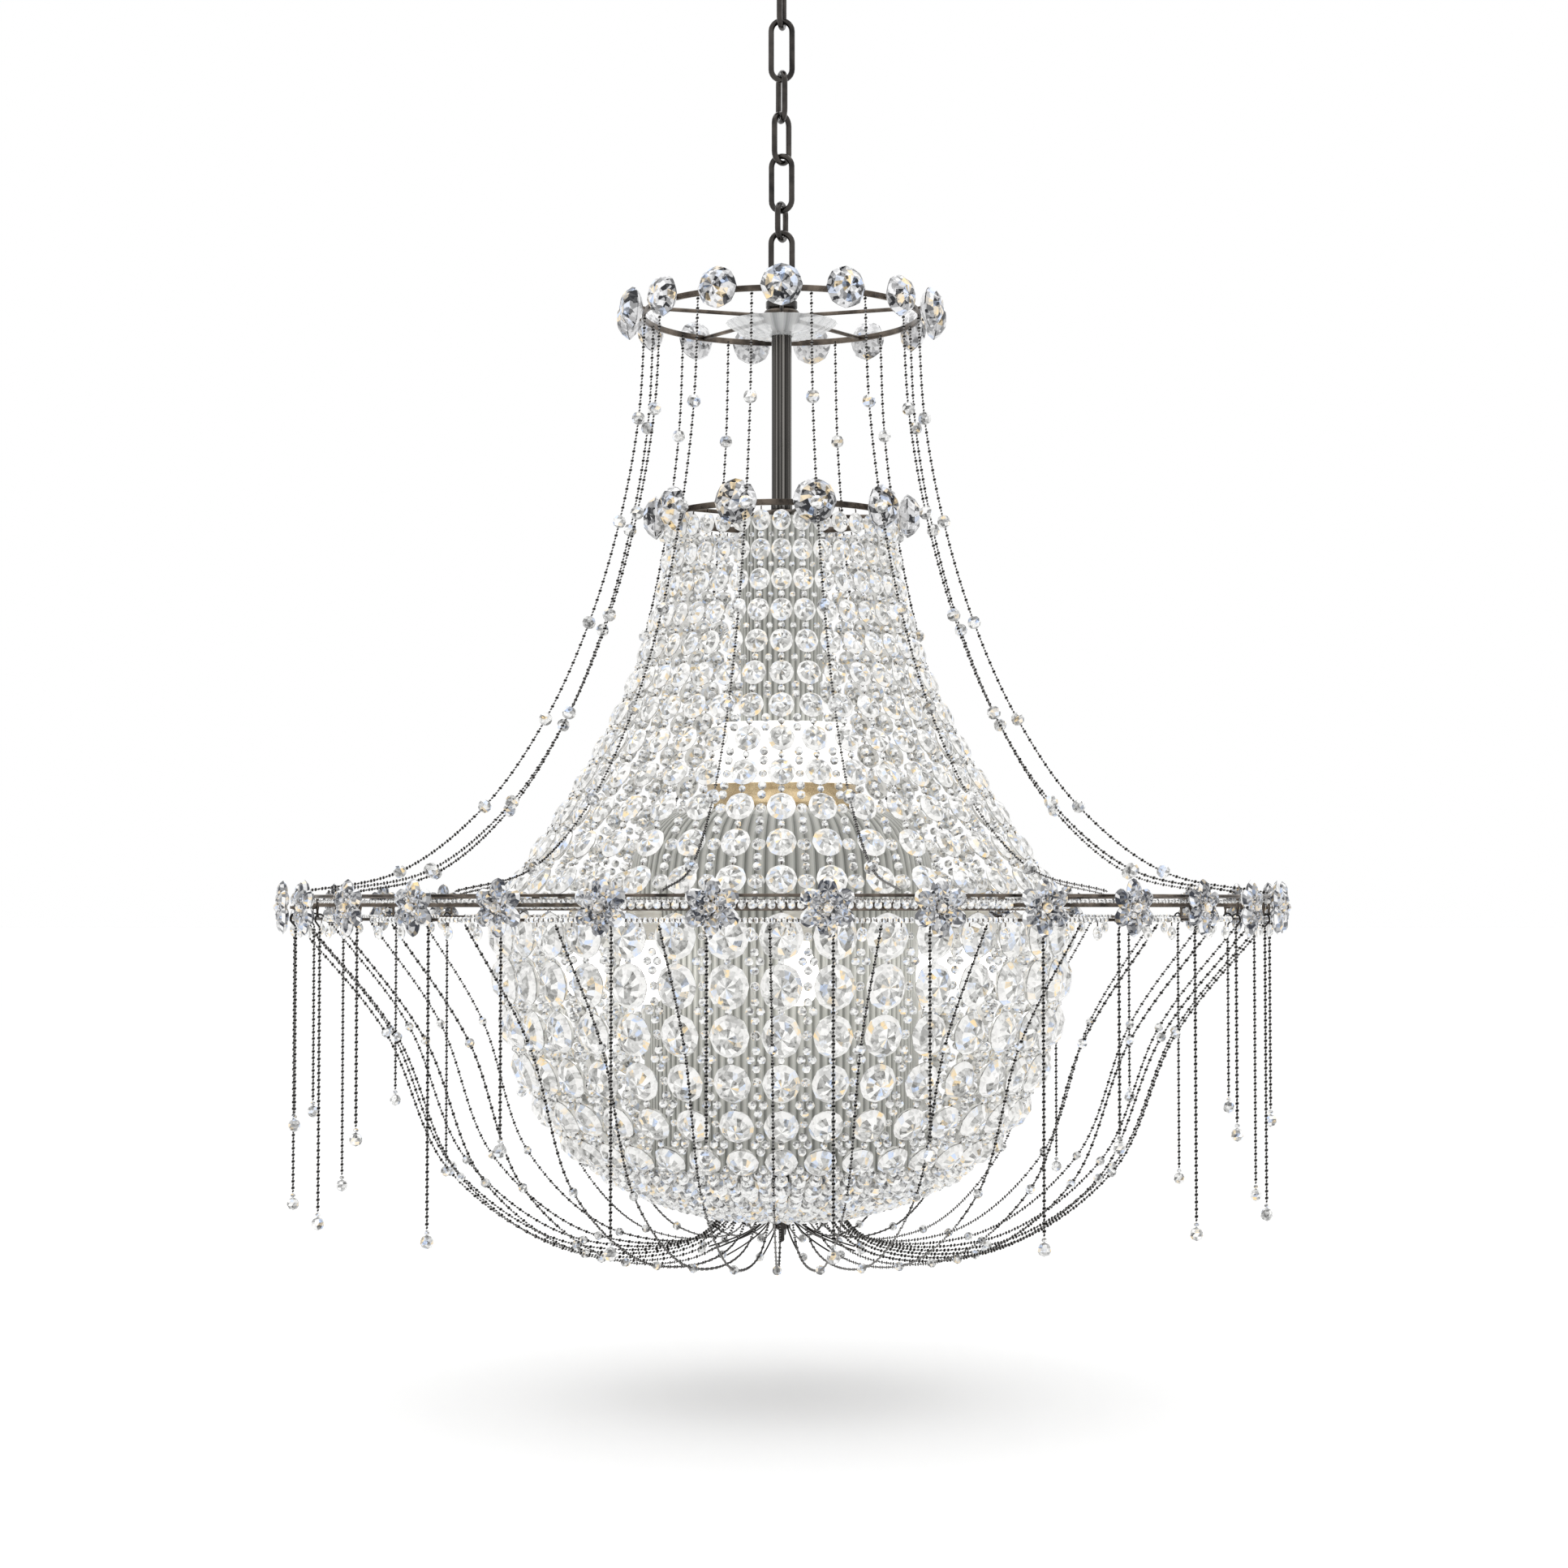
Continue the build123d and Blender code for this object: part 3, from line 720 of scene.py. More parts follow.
def ring_round(
    centre: Vector, across: Vector, other: Vector, radius: float, count: int, turn: float = 0.0
) -> list[Vector]:
    """Corners of a ring round a point.

    Args:
        centre: The ring's middle.
        across: Unit direction from the middle to the first corner.
        other: Unit direction at a right angle to it, in the ring's plane.
        radius: Radius of the ring.
        count: Number of corners.
        turn: Share of a step by which the first corner is turned.

    Returns:
        The corners.
    """
    steps = [math.tau * (i + turn) / count for i in range(count)]
    return [centre + radius * (math.cos(s) * across + math.sin(s) * other) for s in steps]


def on_bend(start: Point, corner: Point, end: Point, share: float) -> Point:
    """Finds a point on a soft bend.

    Args:
        start: Where the bend starts.
        corner: The corner that it rounds off.
        end: Where it ends.
        share: Share of the way along it.

    Returns:
        The point.
    """
    return (1 - share) ** 2 * start + 2 * share * (1 - share) * corner + share**2 * end


def rounded(profile: Profile, radius: float, steps: int = 3) -> Profile:
    """Rounds the corners of a profile.

    Args:
        profile: Corners as (radius, level), which close on themselves.
        radius: How far each corner is cut back.
        steps: Number of edges in a rounded corner.

    Returns:
        The rounded profile.
    """
    result = []
    for i, corner in enumerate(profile):
        here = np.array(corner)
        if corner[0] == 0:
            result.append(tuple(here))
            continue
        sides = []
        for other in (profile[i - 1], profile[(i + 1) % len(profile)]):
            leg = np.array(other) - here
            length = max(float(np.linalg.norm(leg)), 1e-9)
            sides.append(here + leg / length * min(radius, 0.45 * length))
        for step in range(steps + 1):
            point = on_bend(sides[0], here, sides[1], step / steps)
            result.append((float(point[0]), float(point[1])))
    return result


def lathe(
    build: Build,
    profile: Profile,
    segments: int = 64,
    place: Matrix | None = None,
    flutes: int = 0,
    flute_depth: float = 0.0,
    streaks: Sequence[float] = (),
) -> None:
    """Turns a profile about Z, with round flutes down its side where they are asked for.

    Args:
        build: The piece to add to.
        profile: (radius, level) corners, closed, or from axis to axis.
        segments: Faces round the turn.
        place: Where the turned form goes.
        flutes: Number of flutes.
        flute_depth: How deep they are cut.
        streaks: Painted light and shade of the faces side by side round the turn, over and over.
    """
    on_axis = profile[0][0] == 0
    rings = []
    for radius, level in profile:
        if radius == 0:
            ring = [Vector((0, 0, level))]
        else:
            ring = circle(segments, radius, level)
            if flutes:
                for i, corner in enumerate(ring):
                    cut = flute_depth * (0.5 - 0.5 * math.cos(math.tau * flutes * i / segments))
                    corner.x *= 1 - cut / radius
                    corner.y *= 1 - cut / radius
        rings.append([place @ corner for corner in ring] if place else ring)
    # Each flute is painted dark to light across its width: painted shade and highlight on the reeds.
    if flutes:
        per_flute = segments // flutes
        streaks = [FLUTE_SHADE_AND_HIGHLIGHT[step * len(FLUTE_SHADE_AND_HIGHLIGHT) // per_flute] for step in range(per_flute)]

    def shade(row: int, column: int) -> float:
        """Painted tone of a face, from its place round the turn."""
        return streaks[column % len(streaks)]

    build.rings(rings, PLAIN, closed=not on_axis, tone=shade if streaks else None)


def tube(
    build: Build,
    points: Sequence[Vector],
    radius: float,
    sides: int = 10,
    closed: bool = False,
    tone: float = 0.5,
) -> None:
    """Sweeps a round wire along points.

    Args:
        build: The piece to add to.
        points: The wire's middle line.
        radius: The wire's radius.
        sides: Faces round the wire.
        closed: Whether the wire joins itself.
        tone: The wire's tone.
    """
    count = len(points)
    rings = []
    across = None
    for i, point in enumerate(points):
        ahead = points[(i + 1) % count] if closed or i < count - 1 else point
        behind = points[i - 1] if closed or i > 0 else point
        along = (ahead - behind).normalized()
        if across is None:
            across = along.orthogonal().normalized()
        across = (across - along * across.dot(along)).normalized()
        rings.append(ring_round(point, across, along.cross(across), radius, sides))
    build.rings(rings, PLAIN, closed=closed, tone=lambda row, column: tone)


def ball(
    build: Build, centre: Vector, axis: Vector, width: float, length: float, sparkle: Sparkles = BALL
) -> None:
    """Adds a faceted bead whose hole runs along an axis.

    Args:
        build: The piece to add to.
        centre: The bead's middle.
        axis: Unit direction of its hole.
        width: Its width.
        length: Its length along the hole.
        sparkle: How its facets throw light.
    """
    across = axis.orthogonal().normalized()
    other = axis.cross(across)
    rings: list[list[Vector]] = [[centre - axis * length / 2]]
    for rise in (-0.72, -0.26, 0.26, 0.72):
        radius = width / 2 * math.sqrt(1 - rise * rise)
        level = centre + axis * (rise * length / 2)
        rings.append(ring_round(level, across, other, radius, 8, 0.5 * (rise > 0)))
    rings.append([centre + axis * length / 2])
    build.rings(rings, sparkle)


@dataclass(frozen=True)
class StoneFrame:
    """Where a cut stone sits: its middle, and its width, length and depth directions."""

    centre: Vector
    aside: Vector
    along: Vector
    out: Vector

    def at(self, across: float, up: float, depth: float) -> Vector:
        """Point at three distances from the middle."""
        return self.centre + self.aside * across + self.along * up + self.out * depth


@dataclass(frozen=True)
class BrilliantCut:
    """Facets of an eight-sided stone: a table, stars, kites and a thin girdle, on both sides."""

    table: float = 0.46
    shoulder: float = 0.78
    shoulder_depth: float = 0.62
    girdle: float = 0.06
    inset_corner: float = 0.965

    def side(self, spot: StoneFrame, width: float, length: float, depth: float) -> list[list[Vector]]:
        """Rings of one side, from the girdle to the table.

        Args:
            spot: Where the stone sits.
            width: Its width.
            length: Its length.
            depth: Signed depth of this side.

        Returns:
            The rings, of sixteen corners each.
        """
        rings = []
        for share, rise, turn in (
            (1.0, self.girdle, 0.0), (self.shoulder, self.shoulder_depth, 0.5), (self.table, 1.0, 0.0),
        ):
            ring = []
            for i in range(16):
                step = math.tau * (i + turn) / 16
                reach = share * (1.0 if i % 2 == 0 else self.inset_corner)
                x, y = reach * width / 2 * math.cos(step), reach * length / 2 * math.sin(step)
                ring.append(spot.at(x, y, depth * rise))
            rings.append(ring)
        return rings

    def cut(
        self,
        build: Build,
        spot: StoneFrame,
        width: float,
        length: float,
        front: float,
        back: float,
        sparkle: Sparkles,
    ) -> None:
        """Adds a stone.

        Args:
            build: The piece to add to.
            spot: Where it sits.
            width: Its width.
            length: Its length.
            front: Depth before the girdle.
            back: Depth behind it.
            sparkle: How its facets throw light.
        """
        before = self.side(spot, width, length, front)
        behind = self.side(spot, width, length, -back)
        build.rings([[spot.at(0, 0, -back)], *reversed(behind), *before, [spot.at(0, 0, front)]], sparkle)


CUT = BrilliantCut()


@dataclass(frozen=True)
class FineChain:
    """A chain of tiny links, drawn as crossing lozenges that catch the light by turns."""

    width: float
    pitch: float = 2.15 * MM
    overlap: float = 1.25
    dark: float = 0.0
    light: float = 0.9
    waist: float = 0.42
    slant: float = 0.16
    thinness: float = 3.4

    def run(self, build: Build, start: Vector, end: Vector) -> None:
        """Adds the links between two points.

        Args:
            build: The piece to add to.
            start: One end.
            end: The other end.
        """
        way = end - start
        count = max(1, round(way.length / self.pitch))
        along = way.normalized()
        across = along.orthogonal().normalized()
        other = along.cross(across)
        half = way.length / count / 2
        for i in range(count):
            middle = start + way * ((i + 0.5) / count)
            reach = min(half * self.overlap, (i + 0.5) * 2 * half, (count - i - 0.5) * 2 * half)
            lean = 1 if i % 2 else -1
            wide = (across + lean * other).normalized() * self.width / 2
            thin = (across - lean * other).normalized() * self.width / self.thinness
            tip = along * reach + across * self.width * self.slant
            sides = [wide, thin, -wide, -thin]
            low = [middle - tip * self.waist + side for side in sides]
            high = [middle + tip * self.waist + side for side in sides]
            tones = (self.light, self.dark, self.light)
            rings = [[middle - tip], low, high, [middle + tip]]
            build.rings(rings, PLAIN, tone=lambda row, column: tones[row])

    def follow(self, build: Build, points: Sequence[Vector]) -> None:
        """Adds links along a line of points, which are about as far apart as whole links."""
        for start, end in zip(points, points[1:]):
            self.run(build, start, end)


def through(points: Sequence[Vector], spacing: float, heading: Vector | None = None) -> list[Vector]:
    """Draws a smooth curve through points.

    Args:
        points: Where the curve passes.
        spacing: About how far apart the drawn points are.
        heading: Direction in which it arrives at the last point, if that is known.

    Returns:
        Points along the curve.
    """
    after_end = points[-1] * 2 - points[-2]
    if heading is not None:
        after_end = points[-2] + heading.normalized() * 1.8 * (points[-1] - points[-2]).length
    padded = [points[0] * 2 - points[1], *points, after_end]
    line = []
    for before, start, end, after in zip(padded, padded[1:], padded[2:], padded[3:]):
        steps = max(1, round((end - start).length / spacing))
        for i in range(steps):
            t = i / steps
            line.append(0.5 * (
                2 * start + (end - before) * t + (2 * before - 5 * start + 4 * end - after) * t**2
                + (3 * start - before - 3 * end + after) * t**3
            ))
    return [*line, points[-1]]


# ---------------------------------------------------------------- sub-assemblies


@dataclass
class SubAssembly:
    """Part of the chandelier that dresses its own nodes."""

    frame: dict
    body: str = "chandelier"

    def solids(self, node: str) -> list[Solid]:
        """Solids of a CAD node."""
        return solids_of(self.frame["nodes"][node])

    def dress(
        self, build: Build, finish: Finish, slot: str, nodes: Iterable[str], smooth: float | None = None
    ) -> bpy.types.Object:
        """Finishes a piece, hangs it on its body and lets it stand for its nodes.

        Args:
            build: The piece.
            finish: Its finish.
            slot: The record's material slot; not used.
            nodes: The CAD nodes that it stands for.
            smooth: Degrees above which its edges stay sharp, or None for facets.

        Returns:
            The object.
        """
        made = build.done(finish, smooth)
        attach(made, self.body)
        nodes = tuple(nodes)
        if nodes:
            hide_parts(*nodes)
        log.info("%s: %d faces on %s", made.name, len(build.faces), self.body)
        return made

    def turned(
        self,
        name: str,
        node: str,
        profile: Profile,
        finish: Finish,
        slot: str,
        smooth: float,
        **cut: int | float | Sequence[float],
    ) -> None:
        """Turns one closed profile about Z and dresses it.

        Args:
            name: The piece's name.
            node: The CAD node that it stands for.
            profile: Its profile.
            finish: Its finish.
            slot: The record's material slot.
            smooth: Degrees above which its edges stay sharp.
            **cut: What lathe takes besides, such as segments, flutes or streaks.
        """
        piece = Build(name)
        lathe(piece, profile, **cut)
        self.dress(piece, finish, slot, [node], smooth)

    def paint(self, node: str, finish: Finish) -> None:
        """Gives a CAD node that stays in view its finish.

        Args:
            node: The CAD node.
            finish: The finish.
        """
        data = self.frame["nodes"][node].data
        data.materials.clear()
        data.materials.append(FinishShelf.get(finish))
        log.info("%s: kept, with %s", node, finish.value.name)


@dataclass
class CeilingFitting(SubAssembly):
    """The plate, canopy and hook that hold the chain."""

    body: str = "ceiling_fitting"
    eye_radius: float = 8.0 * MM
    eye_wire: float = 2.05 * MM
    shank: float = 2.9 * MM
    canopy_wall: float = 1.5 * MM
    canopy_hole: float = 3.4 * MM

    def build(self) -> None:
        """Dresses the three pieces."""
        self.paint("ceiling_plate", Finish.BLACK_STEEL)
        self.canopy()
        self.hook()

    def canopy(self) -> None:
        """Spins the canopy with a rolled rim and a stepped crown."""
        low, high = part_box("ceiling_canopy")
        rim = high.x * 0.985
        drop = high.z - low.z
        outer = [(rim, high.z), (rim, high.z - 0.2 * drop)]
        for step in range(1, 9):
            turn = math.pi / 2 * step / 9
            radius = rim * (0.62 + 0.38 * math.cos(turn))
            outer.append((radius, high.z - drop * (0.2 + 0.65 * math.sin(turn))))
        outer += [(rim * 0.3, low.z + 0.06 * drop), (self.canopy_hole, low.z)]
        wall, way_back = self.canopy_wall, reversed(outer[1:])
        inner = [(max(radius - wall, self.canopy_hole), level + wall) for radius, level in way_back]
        profile = [*outer, *inner, (rim - wall, high.z)]
        self.turned("canopy", "ceiling_canopy", profile, Finish.ENAMEL, "ceiling_enamel", 40, segments=72)

    def hook(self) -> None:
        """Sweeps the hook's eye and turns its shank."""
        low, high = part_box("ceiling_hook")
        middle = low.z + self.eye_wire + 0.15 * MM + self.eye_radius
        piece = Build("hook")
        ring = []
        for i in range(40):
            turn = math.tau * i / 40
            aside, rise = self.eye_radius * math.sin(turn), self.eye_radius * math.cos(turn)
            ring.append(Vector((aside, 0, middle + rise)))
        tube(piece, ring, self.eye_wire, 14, closed=True)
        foot = middle + self.eye_radius
        profile = [
            (0, foot), (self.shank * 0.8, foot), (self.shank, foot + 2 * MM), (self.shank, high.z - 0.4 * MM),
            (0, high.z - 0.2 * MM),
        ]
        lathe(piece, profile, 20)
        self.dress(piece, Finish.BLACK_STEEL, "chain_metal", ["ceiling_hook"], 40)


@dataclass
class LinkChain(SubAssembly):
    """The oval links between the hook and the stem."""

    links: int = 6
    wire: float = 1.93 * MM
    bend: float = 7.0 * MM
    solid_wire: float = 2.0 * MM

    def build(self) -> None:
        """Dresses each link on its own body."""
        for number in range(1, self.links + 1):
            self.body = f"link_{number}"
            self.link(number)

    def link(self, number: int) -> None:
        """Sweeps one link round its oval.

        Args:
            number: The link's number from the ceiling.
        """
        node = f"chain_link_{number}"
        corners = self.solids(node)[0].corners
        centre = Vector((corners.min(0) + corners.max(0)) / 2)
        level = corners[:, :2] - np.array(centre[:2])
        values, vectors = np.linalg.eigh(level.T @ level)
        aside = Vector((*vectors[:, int(values.argmax())], 0.0)).normalized()
        straight = (corners[:, 2].max() - corners[:, 2].min()) / 2 - self.bend - self.solid_wire
        points = []
        for side in (1, -1):
            for i in range(13):
                turn = math.pi * i / 12
                points.append(
                    centre + aside * (side * self.bend * math.cos(turn))
                    + UP * (side * (straight + self.bend * math.sin(turn)))
                )
        piece = Build(f"link_{number}_oval")
        tube(piece, points, self.wire, 14, closed=True)
        self.dress(piece, Finish.BLACK_STEEL, "chain_metal", [node], 50)


@dataclass
class Stem(SubAssembly):
    """The loop, tube, rod and hubs up the middle."""

    loop_wire: float = 1.95 * MM
    loop_bend: float = 7.0 * MM
    solid_wire: float = 2.0 * MM
    collar_height: float = 8.5 * MM
    collar_radius: float = 10.6 * MM
    bore: float = 5.1 * MM
    # Painted reflections: tones of the light and dark upright streaks round the polished tube.
    streaks: tuple[float, ...] = (
        0.1, 0.85, 0.55, 0.0, 0.0, 0.1, 0.0, 0.35, 0.0, 0.05, 0.75, 0.3, 0.0, 0.05, 0.45, 0.0,
    )

    def build(self) -> None:
        """Dresses the stem from its loop down."""
        self.loop()
        self.cover()
        self.paint("centre_rod", Finish.GUNMETAL)
        self.hubs("spoke_hubs")
        self.hubs("frame_hub")

    def loop(self) -> None:
        """Sweeps the loop into its turned collar."""
        low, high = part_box("stem_loop")
        bend, wide = self.loop_bend, self.collar_radius
        crown = high.z - self.solid_wire - bend
        foot = low.z + self.collar_height
        points = [Vector((bend, 0, foot - 1 * MM))]
        for i in range(15):
            turn = math.pi * i / 14
            points.append(Vector((bend * math.cos(turn), 0, crown + bend * math.sin(turn))))
        points.append(Vector((-bend, 0, foot - 1 * MM)))
        piece = Build("loop")
        tube(piece, points, self.loop_wire, 14)
        profile = [
            (self.bore, low.z), (wide * 0.86, low.z), (wide, low.z + 1.6 * MM), (wide, foot - 2.6 * MM),
            (wide * 0.82, foot - 1.4 * MM), (wide * 0.76, foot), (self.bore, foot),
        ]
        lathe(piece, rounded(profile, 0.5 * MM), 48)
        self.dress(piece, Finish.BLACK_STEEL, "chain_metal", ["stem_loop"], 40)

    def cover(self) -> None:
        """Turns the stem's polished tube, with a narrow band at both ends and painted reflection streaks
        round it.
        """
        low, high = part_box("stem_tube")
        radius = high.x * 0.985
        neck = radius * 0.93
        profile = [
            (radius * 0.82, low.z), (radius, low.z), (radius, low.z + 4 * MM), (neck, low.z + 4.8 * MM),
            (neck, high.z - 4.8 * MM), (radius, high.z - 4 * MM), (radius, high.z), (radius * 0.82, high.z),
        ]
        self.turned(
            "stem_cover", "stem_tube", rounded(profile, 0.35 * MM, 2), Finish.GUNMETAL, "stem_metal", 40,
            segments=64, streaks=self.streaks,
        )

    def hubs(self, node: str) -> None:
        """Turns each hub of a node with a groove round its waist.

        Args:
            node: The CAD node.
        """
        piece = Build(f"{node}_turned")
        for solid in self.solids(node):
            low, high = solid.reach(UP)
            wide = solid.corners[:, 0].max() * 0.95
            middle, edge = (low + high) / 2, 0.2 * (high - low)
            profile = [
                (self.bore, low), (wide * 0.9, low), (wide, low + edge), (wide, middle - 0.5 * MM),
                (wide * 0.93, middle), (wide, middle + 0.5 * MM), (wide, high - edge),
                (wide * 0.9, high), (self.bore, high),
            ]
            lathe(piece, rounded(profile, 0.3 * MM, 2), 48)
        self.dress(piece, Finish.BRONZE, "hoop_metal", [node], 40)


@dataclass
class StoneRings(SubAssembly):
    """The crown's and the middle ring's hoops, spokes, stones and dish."""

    spoke_radius: float = 1.35 * MM
    claw_radius: float = 0.95 * MM
    band_wall: float = 2.0 * MM
    girdle_place: float = 0.43
    dish_hole: float = 8.0 * MM
    dish_wall: float = 2.0 * MM

    def build(self) -> None:
        """Dresses hoops, rods and stones."""
        for node in ("crown_hoop", "middle_hoop"):
            self.hoop(node)
        self.rods("spokes", "spoke_rods", self.spoke_radius)
        self.rods("stone_pins", "stone_claws", self.claw_radius)
        for node in ("crown_stones", "middle_stones"):
            self.stones(node)
        self.dish()

    def hoop(self, node: str) -> None:
        """Turns a flat hoop with eased edges.

        Args:
            node: The CAD node.
        """
        low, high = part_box(node)
        wide = high.y * 0.985
        inside = wide - self.band_wall
        profile = rounded([(inside, low.z), (wide, low.z), (wide, high.z), (inside, high.z)], 0.6 * MM)
        self.turned(f"{node}_band", node, profile, Finish.BRONZE, "hoop_metal", 50, segments=120)

    def rods(self, node: str, name: str, radius: float) -> None:
        """Draws each bar of a node as a round rod.

        Args:
            node: The CAD node.
            name: The piece's name.
            radius: The rods' radius.
        """
        piece = Build(name)
        for solid in self.solids(node):
            near, far = solid.ends(solid.outward)
            tube(piece, [near, near.lerp(far, 0.5), far], radius, 10)
        self.dress(piece, Finish.BRONZE, "hoop_metal", [node], 40)

    def stones(self, node: str) -> None:
        """Cuts each round stone on its outward face.

        Args:
            node: The CAD node.
        """
        piece = Build(f"{node}_cut")
        for solid in self.solids(node):
            back, front = solid.reach(solid.outward)
            low, high = solid.reach(UP)
            width = (high - low) / math.cos(math.pi / 8)
            girdle = back + (front - back) * self.girdle_place
            spot = StoneFrame(solid.outward * girdle + UP * (low + high) / 2, solid.aside, UP, solid.outward)
            size = width * 0.97
            CUT.cut(piece, spot, size, size, (front - girdle) * 0.98, (girdle - back) * 0.9, DEEP)
        self.dress(piece, Finish.DEEP_CRYSTAL, "crystal", [node])

    def dish(self) -> None:
        """Turns the small fluted glass dish under the crown."""
        low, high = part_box("glass_dish")
        rim = high.x * 0.98
        hole, wall = self.dish_hole, self.dish_wall
        profile = [(hole, low.z), (rim * 0.5, low.z)]
        for step in range(1, 7):
            share = step / 6
            profile.append((rim * (0.5 + 0.5 * share), low.z + (high.z - low.z) * share**1.7))
        under = reversed(profile[1:-1])
        profile += [(radius - wall * 0.6, min(level + wall, high.z)) for radius, level in under]
        profile += [(hole, low.z + wall)]
        self.turned(
            "dish", "glass_dish", profile, Finish.PRESSED, "dish_glass", 30,
            segments=144, flutes=24, flute_depth=0.8 * MM,
        )


@dataclass
class StoneCurtain(SubAssembly):
    """Strands of cut stones: the bell above the ring and the bowl below it."""

    wire: float = 0.42 * MM
    stretch: float = 1.12
    side_stone: float = 11.0 * MM
    pin_bead: float = 4.4 * MM
    strands_round: int = 36
    small_bead: float = 5.6 * MM
    side_gap: float = 5.0 * MM

    @property
    def half_step(self) -> Matrix:
        """Turn from a strand to the middle of the gap beside it."""
        return Matrix.Rotation(math.pi / self.strands_round, 3, "Z")

    def build(self) -> None:
        """Cuts the stones of the bell and the bowl, and the beads under them."""
        self.strands("bell_stones", "bell_cut", ((0.0, -0.6), (0.0, 0.6)))
        self.strands("bowl_stones", "bowl_cut", ((0.0, -1.0), (0.0, 1.0), (-0.6, 0.0), (0.6, 0.0)))
        self.beads()

    def strands(self, node: str, name: str, cluster: Sequence[tuple[float, float]]) -> None:
        """Cuts every stone of a node and hangs it on its wire.

        Args:
            node: The CAD node.
            name: The piece's name.
            cluster: Places of the small beads between four stones, in bead widths.
        """
        stones, wires, smalls = Build(name), Build(f"{name}_wires"), Build(f"{name}_small_beads")
        for solid in self.solids(node):
            top, foot = solid.tips(in_plane=True)
            along = (top - foot).normalized()
            side_low, side_high = solid.reach(solid.aside)
            width = side_high - side_low
            length = (top - foot).length
            out = solid.aside.cross(along)
            if out.dot(solid.outward) < 0:
                out = -out
            back, front = solid.reach(out)
            middle = (top + foot) / 2
            spot = StoneFrame(middle, solid.aside, along, out)
            size = min(width, length * 0.97)
            tall = min(self.stretch * size, length * 0.97)
            depth = (front - back) / 2
            CUT.cut(stones, spot, size, tall, depth, depth * 0.9, CLEAR)
            ball(smalls, foot, along, self.pin_bead, self.pin_bead)
            for tip in (top, foot):
                inner = middle + (tip - middle).normalized() * (tall / 2 - 0.8 * MM)
                tube(wires, [inner, inner.lerp(tip, 0.5) + out * 0.25 * MM, tip], self.wire, 5)
            self.small_beads(smalls, foot, along, out, size, cluster)
            gap = math.tau * math.hypot(middle.x, middle.y) / self.strands_round - size
            if gap > self.side_gap:
                turn = self.half_step
                place = turn @ (middle - out * 2 * MM)
                beside = StoneFrame(place, turn @ solid.aside, turn @ along, turn @ out)
                small = min(0.96 * gap, self.side_stone)
                CUT.cut(stones, beside, small, small, 0.3 * small, 0.3 * small, CLEAR)
        self.dress(stones, Finish.CLEAR_CRYSTAL, "crystal", [node])
        self.dress(wires, Finish.BRONZE, "hoop_metal", [], 60)
        self.dress(smalls, Finish.BEAD_CRYSTAL, "crystal_bead", [])

    def small_beads(
        self,
        build: Build,
        foot: Vector,
        along: Vector,
        out: Vector,
        size: float,
        cluster: Sequence[tuple[float, float]],
    ) -> None:
        """Sets small beads in the gap between four stones.

        Args:
            build: The piece to add to.
            foot: Lower tip of the stone above and to one side.
            along: Direction of the strand.
            out: Direction away from the inside.
            size: Width of the stone.
            cluster: Places of the beads across and up, in bead widths, where there is room for them.
        """
        turn = self.half_step
        room = math.tau * math.hypot(foot.x, foot.y) / self.strands_round - 0.4 * size
        width = min(0.44 * room, self.small_bead)
        place, up = turn @ (foot - out * 1.5 * MM), turn @ along
        side = up.cross(turn @ out)
        for across, lift in cluster if room > 2 * self.small_bead else ((0.0, 0.0),):
            ball(build, place + side * across * width + up * lift * width, up, width, width)

    def beads(self) -> None:
        """Cuts the bowl's beads, each with a smaller one above and below it."""
        piece = Build("bowl_beads_cut")
        for solid in self.solids("bowl_beads"):
            top, foot = solid.tips()
            along = (top - foot).normalized()
            length = (top - foot).length
            side_low, side_high = solid.reach(solid.aside)
            width = min((side_high - side_low) / math.cos(math.pi / 6), length * 0.6)
            middle = (top + foot) / 2
            ball(piece, middle, along, width, width, BALL)
            for lean in (-1, 1):
                small = (length - width) / 2
                place = middle + along * lean * (width + small) / 2
                ball(piece, place, along, min(small, 0.8 * width), small, BALL)
            self.infill(piece, top, foot, width)
        self.dress(piece, Finish.BEAD_CRYSTAL, "crystal_bead", ["bowl_beads"])

    def infill(self, build: Build, top: Vector, foot: Vector, width: float) -> None:
        """Fills the gap beside a bead strand with a column of small beads.

        Args:
            build: The piece to add to.
            top: Upper end of the strand's step.
            foot: Lower end of it.
            width: Width of the bead beside it.
        """
        first, last = self.half_step @ top, self.half_step @ foot
        gap = 2 * math.sin(math.pi / self.strands_round) * math.hypot(*((top + foot) / 2)[:2]) * 2 - width
        size = min(gap, (first - last).length / 3) * 0.96
        if size < 2 * MM:
            return
        for i in range(3):
            ball(build, first.lerp(last, (i + 0.5) / 3), (first - last).normalized(), size, size)


